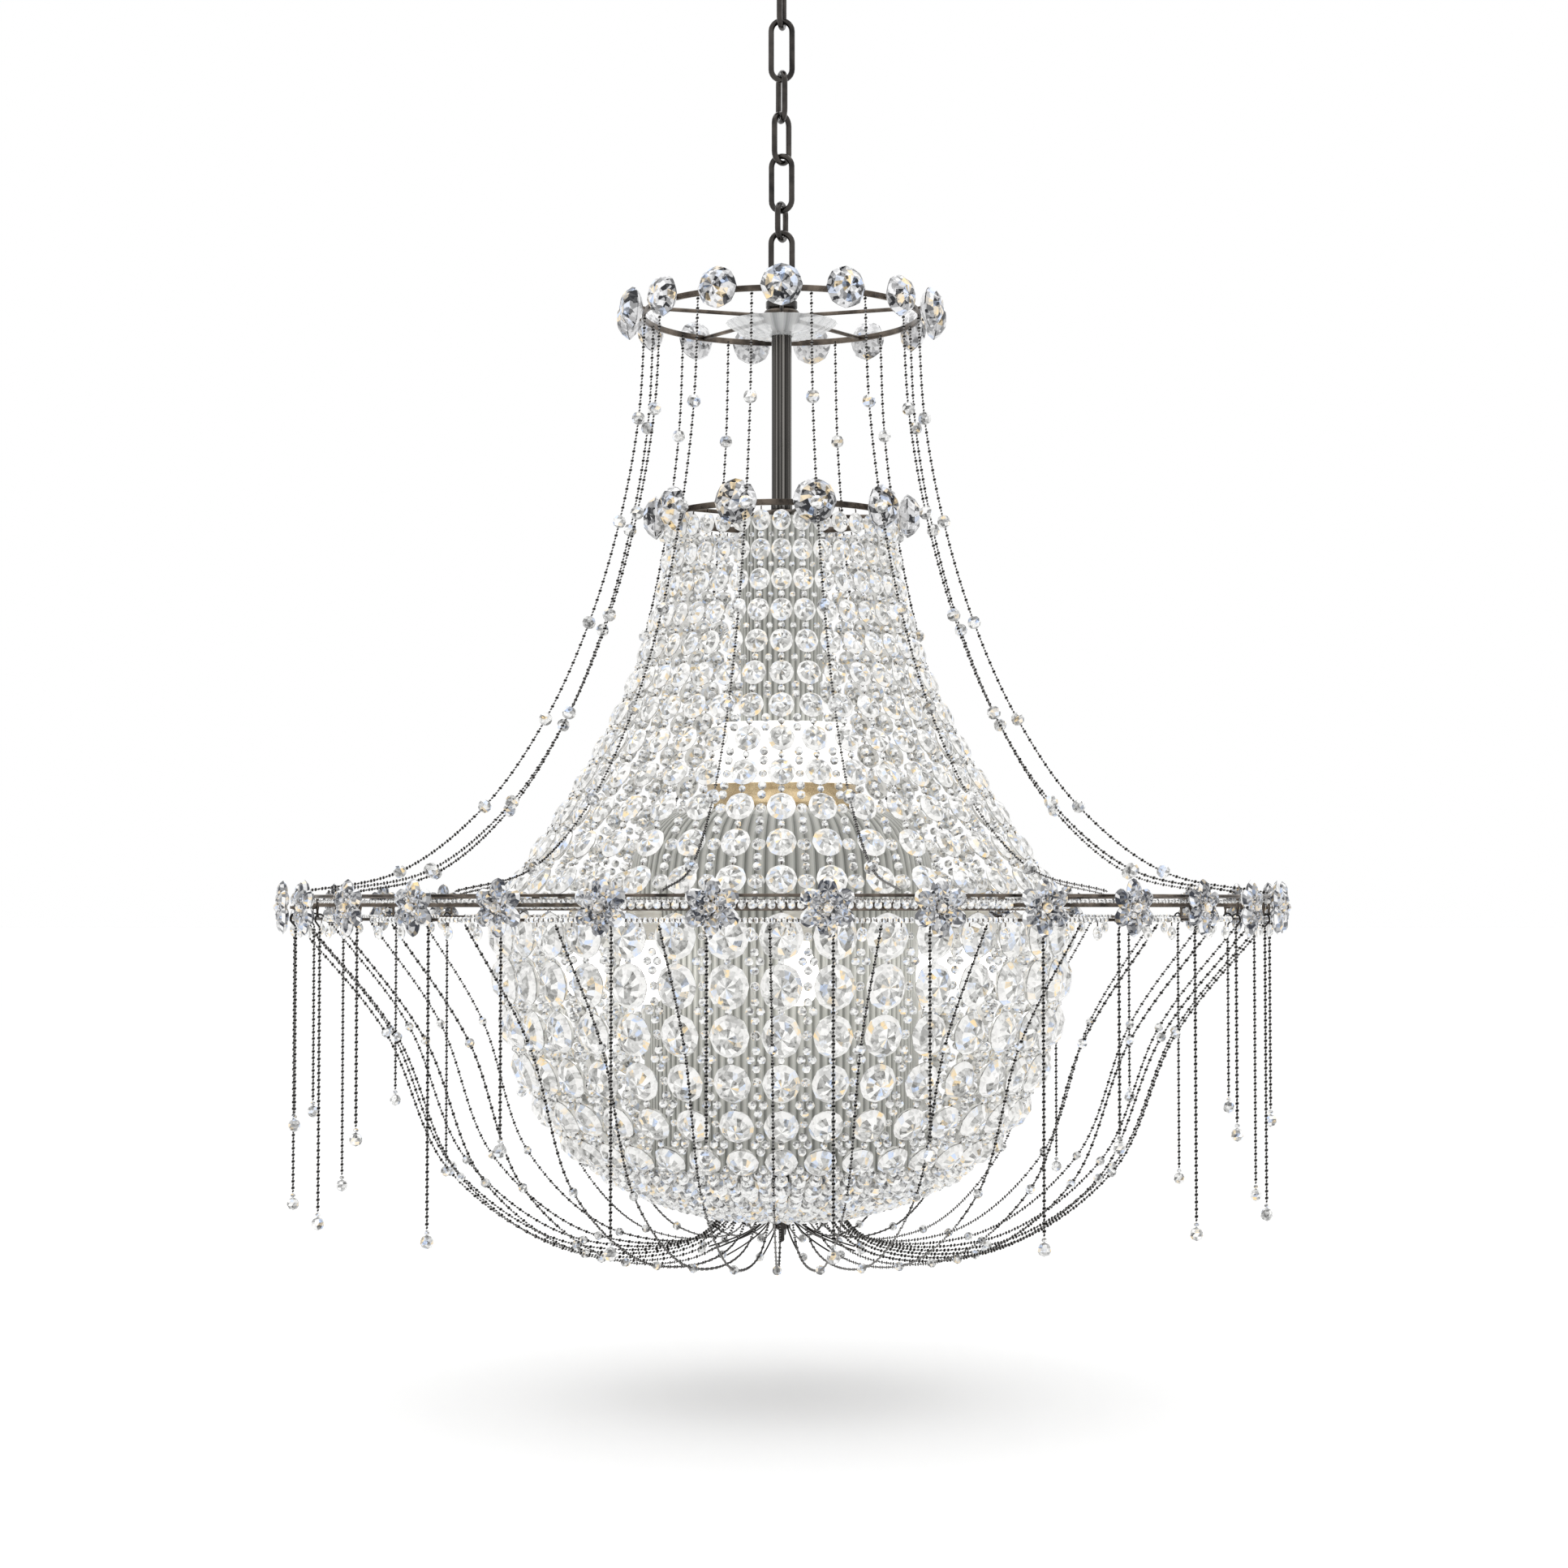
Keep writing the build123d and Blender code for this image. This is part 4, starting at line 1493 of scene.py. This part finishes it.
@dataclass
class WideRing(SubAssembly):
    """The two outer hoops with their posts, braid and rosettes, and the inner ring with its arms.

    A petal and a pendant are given as width, length, depth before the girdle and depth behind it, and
    beads that aren't round as width and length.
    """

    hoop_radius: float = 320.0 * MM
    hoop_wire: float = 0.95 * MM
    post_radius: float = 1.0 * MM
    arm_radius: float = 1.4 * MM
    inner_band: float = 4.0 * MM
    braid_drop: float = 3.2 * MM
    petals: int = 6
    petal: tuple[float, ...] = (11.4 * MM, 14.2 * MM, 3.6 * MM, 2.6 * MM)
    notch_bead: float = 4.6 * MM
    inner_bead: float = 3.6 * MM
    heart_bead: float = 6.2 * MM
    pendant: tuple[float, ...] = (6.4 * MM, 8.4 * MM, 2.2 * MM, 2.0 * MM)
    pendant_turn: float = 2.0
    pendant_drop: float = 6.8 * MM
    pendant_wire: float = 0.4 * MM
    trim_bead: tuple[float, float] = (5.0 * MM, 5.6 * MM)
    trim_gap: float = 2.3 * MM
    hoop_bead: tuple[float, float] = (3.7 * MM, 3.1 * MM)
    trim_beads: int = 200
    beads_between: int = 12
    braid: FineChain = field(default_factory=lambda: FineChain(2.6 * MM, 3.0 * MM, 1.2, 0.05, 1.0))

    def build(self) -> None:
        """Dresses the ring from its frame out."""
        self.hoops()
        self.posts()
        self.arms()
        self.inner_ring()
        self.plait()
        self.rosettes()
        self.pendants()

    def pendants(self) -> None:
        """Hangs small stones under the lower hoop, midway between the rosettes."""
        low = min(sum(solid.reach(UP)) / 2 for solid in self.solids("outer_hoops")) - self.hoop_wire
        stones, rings = Build("ring_pendants"), Build("ring_pendant_loops")
        flowers = self.solids("rosettes")
        for flower in flowers:
            for lean in (-1, 1):
                turn = math.pi / len(flowers) + lean * math.radians(self.pendant_turn)
                out = Matrix.Rotation(turn, 3, "Z") @ flower.outward
                top = out * self.hoop_radius + UP * low
                wire = [top + UP * 0.4 * MM, top - UP * 1.5 * MM, top - UP * 3 * MM]
                tube(rings, wire, self.pendant_wire, 5, tone=0.3)
                spot = StoneFrame(top - UP * self.pendant_drop, UP.cross(out), UP, out)
                CUT.cut(stones, spot, *self.pendant, CLEAR)
        self.dress(stones, Finish.CLEAR_CRYSTAL, "crystal", [])
        self.dress(rings, Finish.BRONZE, "hoop_metal", [])

    def hoops(self) -> None:
        """Sweeps both hoops as round wire."""
        piece = Build("ring_hoops")
        for solid in self.solids("outer_hoops"):
            low, high = solid.reach(UP)
            tube(piece, circle(192, self.hoop_radius, (low + high) / 2), self.hoop_wire, 12, closed=True)
        self.dress(piece, Finish.BRONZE, "hoop_metal", ["outer_hoops"], 50)

    def posts(self) -> None:
        """Turns each post between the hoops as a rod with a swelling at its middle."""
        piece = Build("ring_posts")
        radius = self.post_radius
        for solid in self.solids("hoop_posts"):
            low, high = solid.reach(UP)
            half = (high - low) / 2
            place = solid.upright((low + high) / 2)
            profile = [
                (0, -half), (radius, -half), (radius * 0.7, -half * 0.4), (radius * 1.15, 0),
                (radius * 0.7, half * 0.4), (radius, half), (0, half),
            ]
            lathe(piece, profile, 10, place)
        self.dress(piece, Finish.BRONZE, "hoop_metal", ["hoop_posts"], 50)

    def arms(self) -> None:
        """Draws the arms as round rods."""
        piece = Build("arm_rods")
        for solid in self.solids("frame_arms"):
            near, far = solid.ends(solid.outward)
            tube(piece, [near, near.lerp(far, 0.5), far], self.arm_radius, 12)
        self.dress(piece, Finish.BRONZE, "hoop_metal", ["frame_arms"], 40)

    def inner_ring(self) -> None:
        """Turns the inner ring and sets a row of beads round it."""
        low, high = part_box("inner_ring")
        wide = high.x
        inside = wide - self.inner_band
        profile = rounded([(inside, low.z), (wide, low.z), (wide, high.z), (inside, high.z)], 1.0 * MM)
        self.turned("inner_ring_band", "inner_ring", profile, Finish.BRONZE, "hoop_metal", 50, segments=160)
        beads = Build("inner_ring_beads")
        for place in circle(self.trim_beads, wide + self.trim_gap, 0.5 * (low.z + high.z)):
            ball(beads, place, UP, *self.trim_bead)
        self.dress(beads, Finish.BEAD_CRYSTAL, "crystal_bead", [])

    def plait(self) -> None:
        """Lays a row of fine braid under the upper hoop and strings beads on the lower one."""
        low, high = sorted(sum(solid.reach(UP)) / 2 for solid in self.solids("outer_hoops"))
        piece = Build("ring_braid")
        corners = circle(64, self.hoop_radius, high - self.braid_drop)
        for start, end in zip(corners, corners[1:] + corners[:1]):
            self.braid.run(piece, start, end)
        self.dress(piece, Finish.BEAD_CRYSTAL, "crystal_bead", [])
        beads = Build("lower_hoop_beads")
        flowers = self.solids("rosettes")
        gap = math.tau / len(flowers)
        for flower in flowers:
            for i in range(self.beads_between):
                turn = gap * (0.2 + 0.6 * (i + 0.5) / self.beads_between)
                out = Matrix.Rotation(turn, 3, "Z") @ flower.outward
                ball(beads, out * self.hoop_radius + UP * low, UP.cross(out), *self.hoop_bead)
        self.dress(beads, Finish.BEAD_CRYSTAL, "crystal_bead", [])

    def rosettes(self) -> None:
        """Builds each rosette as a flower of petals and beads."""
        piece, petals = Build("rosette_hearts"), Build("rosette_petals")
        for solid in self.solids("rosettes"):
            out, aside = solid.outward, solid.aside
            back, front = solid.reach(out)
            low, high = solid.reach(UP)
            radius = (high - low) / 2
            middle = out * (back + 3.2 * MM) + UP * (low + high) / 2
            for i in range(self.petals):
                turn = math.tau * i / self.petals
                between = turn + math.pi / self.petals
                ray = UP * math.cos(turn) + aside * math.sin(turn)
                spot = StoneFrame(middle + ray * radius * 0.58 + out * 1.4 * MM, ray.cross(out), ray, out)
                CUT.cut(petals, spot, *self.petal, PETAL)
                notch = (UP * math.cos(between) + aside * math.sin(between)) * radius
                place = middle + notch * 0.54 + out * 2.0 * MM
                ball(piece, place, out, self.notch_bead, self.notch_bead, DEEP_BALL)
                place = middle + notch * 0.31 + out * 4.2 * MM
                ball(piece, place, out, self.inner_bead, self.inner_bead)
            ball(piece, middle + out * 4.4 * MM, out, self.heart_bead, self.heart_bead, ROSETTE_HEART)
        self.dress(petals, Finish.PETAL_CRYSTAL, "crystal", ["rosettes"])
        self.dress(piece, Finish.DEEP_CRYSTAL, "crystal", [])


@dataclass
class Swags(SubAssembly):
    """Fine chains with beads, from the crown to the ring and from the ring to the bottom plate."""

    same_swag: float = 0.7
    chain: FineChain = field(default_factory=lambda: FineChain(2.05 * MM))

    def build(self) -> None:
        """Dresses both sets of swags."""
        for side in ("upper", "lower"):
            self.chains(f"{side}_swag_chains")
            self.beads(f"{side}_swag_beads")

    def chains(self, node: str) -> None:
        """Threads fine links along every swag of a node, on one curve through its beads.

        Args:
            node: The CAD node.
        """
        piece = Build(f"{node}_links")
        swags: dict[float, list[tuple[Vector, Vector]]] = {}
        for solid in self.solids(node):
            bearing = math.degrees(math.atan2(solid.outward.y, solid.outward.x))
            near = (b for b in swags if abs((b - bearing + 180) % 360 - 180) < self.same_swag)
            swags.setdefault(next(near, bearing), []).append(self.run_ends(solid))
        for runs in swags.values():
            line = self.in_order(runs)
            inward = Vector((-line[-1].x, -line[-1].y, 0)).normalized()
            heading = inward * 0.5 + UP if node.startswith("lower") else None
            self.chain.follow(piece, through(line, 3 * self.chain.pitch, heading))
        self.dress(piece, Finish.SWAG_WIRE, "swag_wire", [node])

    @staticmethod
    def run_ends(solid: Solid) -> tuple[Vector, Vector]:
        """Finds the two ends of a straight run.

        Args:
            solid: The run.

        Returns:
            The middles of both ends.
        """
        corners = solid.corners
        first, second = furthest_apart(corners)
        places = corners @ (second - first)
        middle = (places.min() + places.max()) / 2
        return Vector(corners[places < middle].mean(0)), Vector(corners[places >= middle].mean(0))

    @staticmethod
    def in_order(runs: list[tuple[Vector, Vector]]) -> list[Vector]:
        """Strings a swag's runs end to end.

        Args:
            runs: The two ends of each run, in any order.

        Returns:
            The swag's first end, its beads' middles, and its last end.
        """
        ends = [end for run in runs for end in run]
        first = max(ends, key=lambda end: end.z + 0.2 * math.hypot(end.x, end.y))
        line, left, here = [first], list(runs), first
        while left:
            run = min(left, key=lambda pair: min((pair[0] - here).length, (pair[1] - here).length))
            left.remove(run)
            near, far = sorted(run, key=lambda end: (end - here).length)
            if len(line) > 1 or near != first:
                line[-1] = (line[-1] + near) / 2
            line.append(far)
            here = far
        return line

    def beads(self, node: str) -> None:
        """Cuts every bead of a node.

        Args:
            node: The CAD node.
        """
        piece = Build(f"{node}_cut")
        for solid in self.solids(node):
            top, foot = solid.tips()
            length = (top - foot).length
            ball(piece, (top + foot) / 2, (top - foot).normalized(), length * 0.98, length, HUNG_BALL)
        self.dress(piece, Finish.BEAD_CRYSTAL, "crystal_bead", [node])


@dataclass
class Dangles(SubAssembly):
    """The swinging pairs of chains and drops under the wide ring."""

    pairs: int = 16
    reach: float = 2.9 * MM
    hook_wire: float = 0.6 * MM
    tallest_drop: float = 20.0 * MM
    chain: FineChain = field(default_factory=lambda: FineChain(2.1 * MM))

    def build(self) -> None:
        """Dresses each pair on its own body."""
        for number in range(1, self.pairs + 1):
            self.body = f"dangles_{number:02}"
            self.pair(number)

    def pair(self, number: int) -> None:
        """Builds a pair's hooks, chains and drops.

        Args:
            number: The pair's number from the front.
        """
        node = f"dangle_pair_{number:02}"
        solids = self.solids(node)
        metal, drops = Build(f"dangle_chains_{number:02}"), Build(f"dangle_drops_{number:02}")
        hoop = min(sum(solid.reach(UP)) / 2 for solid in self.solids("outer_hoops"))
        out = Solid(np.concatenate([solid.corners for solid in solids])).outward
        for solid in solids:
            low, high = solid.reach(UP)
            if high - low > self.tallest_drop:
                start = Vector((solid.centre.x, solid.centre.y, hoop))
                self.hook(metal, start, out)
                self.chain.run(metal, start - UP * 1.8 * self.reach, Vector((start.x, start.y, low)))
            else:
                self.drop(drops, solid)
        self.dress(metal, Finish.SWAG_WIRE, "swag_wire", [node])
        self.dress(drops, Finish.BEAD_CRYSTAL, "crystal_bead", [])

    def hook(self, build: Build, origin: Vector, out: Vector) -> None:
        """Bends a small wire hook over the hoop.

        Args:
            build: The piece to add to.
            origin: The hoop's middle, where the hook goes over it.
            out: Direction away from the chandelier's axis.
        """
        points = [origin - out * self.reach - UP * self.reach / 2]
        for i in range(9):
            turn = math.pi * i / 8
            points.append(origin - out * self.reach * math.cos(turn) + UP * self.reach * math.sin(turn))
        points += [origin + out * self.reach - UP * self.reach / 2, origin - UP * 1.8 * self.reach]
        tube(build, points, self.hook_wire, 6, tone=0.1)

    @staticmethod
    def drop(build: Build, solid: Solid) -> None:
        """Cuts a faceted drop with a small bead on top.

        Args:
            build: The piece to add to.
            solid: The drop's solid.
        """
        top, foot = solid.tips()
        length = (top - foot).length
        ball(build, foot + UP * length * 0.38, UP, length * 0.72, length * 0.76, HUNG_BALL)
        ball(build, top - UP * length * 0.12, UP, length * 0.3, length * 0.24, HUNG_BALL)


@dataclass
class Bottom(SubAssembly):
    """The bottom plate, its finial and the sprays of beads."""

    spray_wire: float = 0.55 * MM
    spray_bend: float = 6.0 * MM
    bore: float = 5.2 * MM
    pin: float = 1.9 * MM

    def build(self) -> None:
        """Dresses plate, finial and sprays."""
        self.plate()
        self.finial()
        self.sprays()

    def plate(self) -> None:
        """Turns the plate with a raised rim."""
        low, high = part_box("bottom_plate")
        wide = high.x * 0.985
        floor = low.z + 0.5 * MM
        profile = [
            (self.bore, floor), (wide * 0.7, floor), (wide * 0.78, low.z), (wide, low.z),
            (wide, high.z), (self.bore, high.z),
        ]
        profile = rounded(profile, 0.5 * MM, 2)
        self.turned("bottom_disc", "bottom_plate", profile, Finish.BRONZE, "hoop_metal", 40, segments=96)

    def finial(self) -> None:
        """Turns the six-sided nut and its pin."""
        low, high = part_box("finial")
        nut, pin = high.x * 0.96, self.pin
        foot = high.z - (high.z - low.z) * 0.47
        under = foot - 0.8 * MM
        piece = Build("finial_nut")
        lathe(piece, [(0, high.z), (nut, high.z), (nut, foot), (nut * 0.8, under), (0, under)], 6)
        lathe(piece, [(0, foot), (pin, foot), (pin, low.z + 1 * MM), (pin * 0.6, low.z), (0, low.z)], 20)
        self.dress(piece, Finish.BLACK_STEEL, "chain_metal", ["finial"], 30)

    def sprays(self) -> None:
        """Bends each spray's wire down to its bead."""
        wires, stones = Build("spray_wires_bent"), Build("spray_beads_cut")
        for solid in self.solids("spray_wires"):
            low, high = solid.reach(UP)
            near, far = solid.reach(solid.outward)
            start = solid.outward * near + UP * (high - self.spray_wire)
            end = solid.outward * far + UP * (low + self.spray_wire)
            bend = solid.outward * (near + self.spray_bend) + UP * ((low + high) / 2)
            points = [on_bend(start, bend, end, i / 10) for i in range(11)]
            tube(wires, points, self.spray_wire, 6, tone=0.1)
        for solid in self.solids("spray_beads"):
            out = solid.outward
            near, far = solid.reach(out)
            low, high = solid.reach(UP)
            size = min(far - near, high - low) * 0.97
            place = out * (near + far) / 2 + UP * (low + high) / 2
            ball(stones, place, out, size, size, BALL)
        self.dress(wires, Finish.BLACK_STEEL, "swag_wire", ["spray_wires"], 60)
        self.dress(stones, Finish.BEAD_CRYSTAL, "crystal_bead", ["spray_beads"])


@dataclass
class Lamps(SubAssembly):
    """The lamp holders and their bulbs."""

    holder_radius: float = 9.3 * MM
    bulb_radius: float = 13.6 * MM
    bulb_base: float = 7.0 * MM

    def build(self) -> None:
        """Dresses holders and bulbs."""
        holders, bulbs = Build("lamp_sleeves"), Build("bulbs_frosted")
        for solid in self.solids("lamp_holders"):
            low, high = solid.reach(UP)
            wide = self.holder_radius
            profile = [(0, high), (wide * 0.8, high)]
            for i in range(5):
                level = high - (high - low) * (0.12 + 0.17 * i)
                profile += [(wide, level), (wide * 0.93, level - 1.2 * MM)]
            profile += [(wide, low + 0.6 * MM), (wide * 0.94, low), (0, low)]
            lathe(holders, profile, 32, solid.upright())
        for solid in self.solids("bulbs"):
            low, high = solid.reach(UP)
            tall, wide, base = high - low, self.bulb_radius, self.bulb_base
            profile = [(0, high), (base, high), (base + 0.4 * MM, high - 0.12 * tall)]
            for i in range(1, 12):
                turn = math.pi * (0.25 + 0.75 * i / 11.5)
                profile.append((wide * math.sin(turn) ** 0.8, low + tall * 0.42 * (1 + math.cos(turn))))
            profile += [(0, low)]
            lathe(bulbs, profile, 32, solid.upright())
        self.dress(holders, Finish.IVORY, "holder", ["lamp_holders"], 40)
        self.dress(bulbs, Finish.FROSTED, "bulb_glass", ["bulbs"], 60)


@dataclass
class InnerGlass(SubAssembly):
    """The reeded tube, opal drum, gilt collar, reeded shade and reeded cylinder inside the stones."""

    wall: float = 2.4 * MM
    reed_depth: float = 1.1 * MM
    faces_per_reed: int = 6
    drum_wall: float = 2.5 * MM
    drum_bore: float = 5.6 * MM
    collar_wall: float = 4.0 * MM

    def build(self) -> None:
        """Dresses the glass from the top down."""
        self.sleeve("upper_glass_tube", "reeded_tube_glass", 44)
        self.drum()
        self.collar()
        self.shade()
        self.sleeve("reeded_cylinder", "reeded_cylinder_glass", 110)

    def reeded(self, name: str, node: str, profile: Profile, reeds: int) -> None:
        """Turns a reeded glass piece.

        Args:
            name: The piece's name.
            node: The CAD node that it stands for.
            profile: Its closed profile.
            reeds: Reeds round it.
        """
        self.turned(
            name, node, profile, Finish.REEDED, "reeded_glass", 60,
            segments=reeds * self.faces_per_reed, flutes=reeds, flute_depth=self.reed_depth,
        )

    def sleeve(self, node: str, name: str, reeds: int) -> None:
        """Turns a straight reeded sleeve with plain rims.

        Args:
            node: The CAD node.
            name: The piece's name.
            reeds: Reeds round it.
        """
        low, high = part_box(node)
        wide = high.x * 0.995
        profile = [(wide, low.z), (wide, high.z), (wide - self.wall, high.z), (wide - self.wall, low.z)]
        self.reeded(name, node, profile, reeds)

    def drum(self) -> None:
        """Turns the opal drum with a soft shoulder."""
        low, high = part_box("opal_drum")
        wide, wall = high.x * 0.995, self.drum_wall
        profile = [
            (wide, low.z), (wide, high.z), (self.drum_bore, high.z), (self.drum_bore, high.z - wall),
            (wide - wall, high.z - wall), (wide - wall, low.z),
        ]
        profile = rounded(profile, 1.2 * MM, 4)
        self.turned("opal_drum_glass", "opal_drum", profile, Finish.OPAL, "opal_glass", 50, segments=96)

    def collar(self) -> None:
        """Turns the gilt collar with a rolled foot."""
        low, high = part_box("drum_collar")
        foot, top, wall = high.x * 0.99, high.x * 0.79, self.collar_wall
        drop = low.z + 2.4 * MM - high.z
        profile = [(top, high.z)]
        profile += [(top + (foot - top) * (s / 6) ** 1.35, high.z + drop * s / 6) for s in range(1, 7)]
        profile += [(foot, low.z), (foot - wall, low.z), (foot - wall, low.z + 3 * MM), (top - wall, high.z)]
        profile = rounded(profile, 0.5 * MM, 2)
        self.turned("gilt_collar", "drum_collar", profile, Finish.GILT, "gilt", 35, segments=96)

    def shade(self) -> None:
        """Turns the reeded shade over its rounded shoulder."""
        low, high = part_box("reeded_shade")
        foot, neck = high.x * 0.995, high.x * 0.6
        tall = high.z - low.z
        outer = []
        for i in range(9):
            turn = math.pi / 2 * i / 8
            outer.append((neck + (foot - neck) * math.sin(turn), low.z + tall * math.cos(turn) ** 0.75))
        sunk = self.wall * 0.4
        inner = [(radius - self.wall, max(level - sunk, low.z)) for radius, level in reversed(outer)]
        self.reeded("reeded_shade_glass", "reeded_shade", [*outer, *inner], 96)


# ---------------------------------------------------------------- studio


@dataclass
class Studio:
    """The pale floor, the soft light and the camera at the photograph's place."""

    image: int = 1932
    focal_pixels: float = 3600.0
    sensor: float = 36.0
    distance: float = 1.944
    ring_level: float = -0.677
    pitch: float = 2.37
    aside: float = 0.0016
    far_clip: float = 200.0
    floor_level: float = -1.0
    floor_half: float = 40.0
    floor_tone: float = 0.93
    floor_glow: float = 0.08
    lamp_level: float = 0.7
    lamp_width: float = 1.8
    lamp_watts: float = 6.6

    def build(self) -> None:
        """Sets the studio up."""
        self.camera()
        self.floor()
        self.light()

    def camera(self) -> None:
        """Places the camera level with the wide ring, pitched slightly up."""
        data = bpy.data.cameras.new("camera")
        data.sensor_width = self.sensor
        data.lens = self.sensor * self.focal_pixels / self.image
        data.clip_end = self.far_clip
        camera = bpy.data.objects.new("camera", data)
        camera.location = (self.aside, -self.distance, self.ring_level)
        camera.rotation_euler = (math.radians(90 + self.pitch), 0, 0)
        bpy.context.scene.collection.objects.link(camera)
        bpy.context.scene.camera = camera

    def floor(self) -> None:
        """Lays a plain pale floor."""
        half = self.floor_half
        mesh = bpy.data.meshes.new("floor")
        corners = [(x * half, y * half, self.floor_level) for x, y in ((-1, -1), (1, -1), (1, 1), (-1, 1))]
        mesh.from_pydata(corners, [], [(0, 1, 2, 3)])
        tree = ShaderTree("pale_floor")
        white = opaque((self.floor_tone,) * 3)
        mesh.materials.append(tree.finish(
            Base_Color=white, Roughness=0.9, Emission_Color=white, Emission_Strength=self.floor_glow,
        ))
        floor = bpy.data.objects.new("floor", mesh)
        bpy.context.scene.collection.objects.link(floor)

    def light(self) -> None:
        """Hangs a broad soft lamp overhead in a white room."""
        world = bpy.data.worlds.new("white_room")
        world.use_nodes = True
        back = next(n for n in world.node_tree.nodes if n.type == "BACKGROUND")
        back.inputs["Color"].default_value = (1.0, 1.0, 1.0, 1.0)
        back.inputs["Strength"].default_value = 1.0
        bpy.context.scene.world = world
        bpy.context.scene.view_settings.view_transform = "Standard"
        data = bpy.data.lights.new("overhead", "AREA")
        data.shape = "DISK"
        data.size = self.lamp_width
        data.energy = self.lamp_watts
        lamp = bpy.data.objects.new("overhead", data)
        lamp.location = (0.0, 0.0, self.lamp_level)
        bpy.context.scene.collection.objects.link(lamp)


# ---------------------------------------------------------------- main


def main() -> None:
    """Builds each sub-assembly in order, then the studio."""
    logging.basicConfig(level=logging.INFO, format="%(name)s %(message)s")
    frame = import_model()
    for kind in (
        CeilingFitting, LinkChain, Stem, StoneRings, StoneCurtain, WideRing,
        Swags, Dangles, Bottom, Lamps, InnerGlass,
    ):
        kind(frame).build()
        log.info("%s done", kind.__name__)
    Studio().build()


if __name__ == "__main__":
    main()
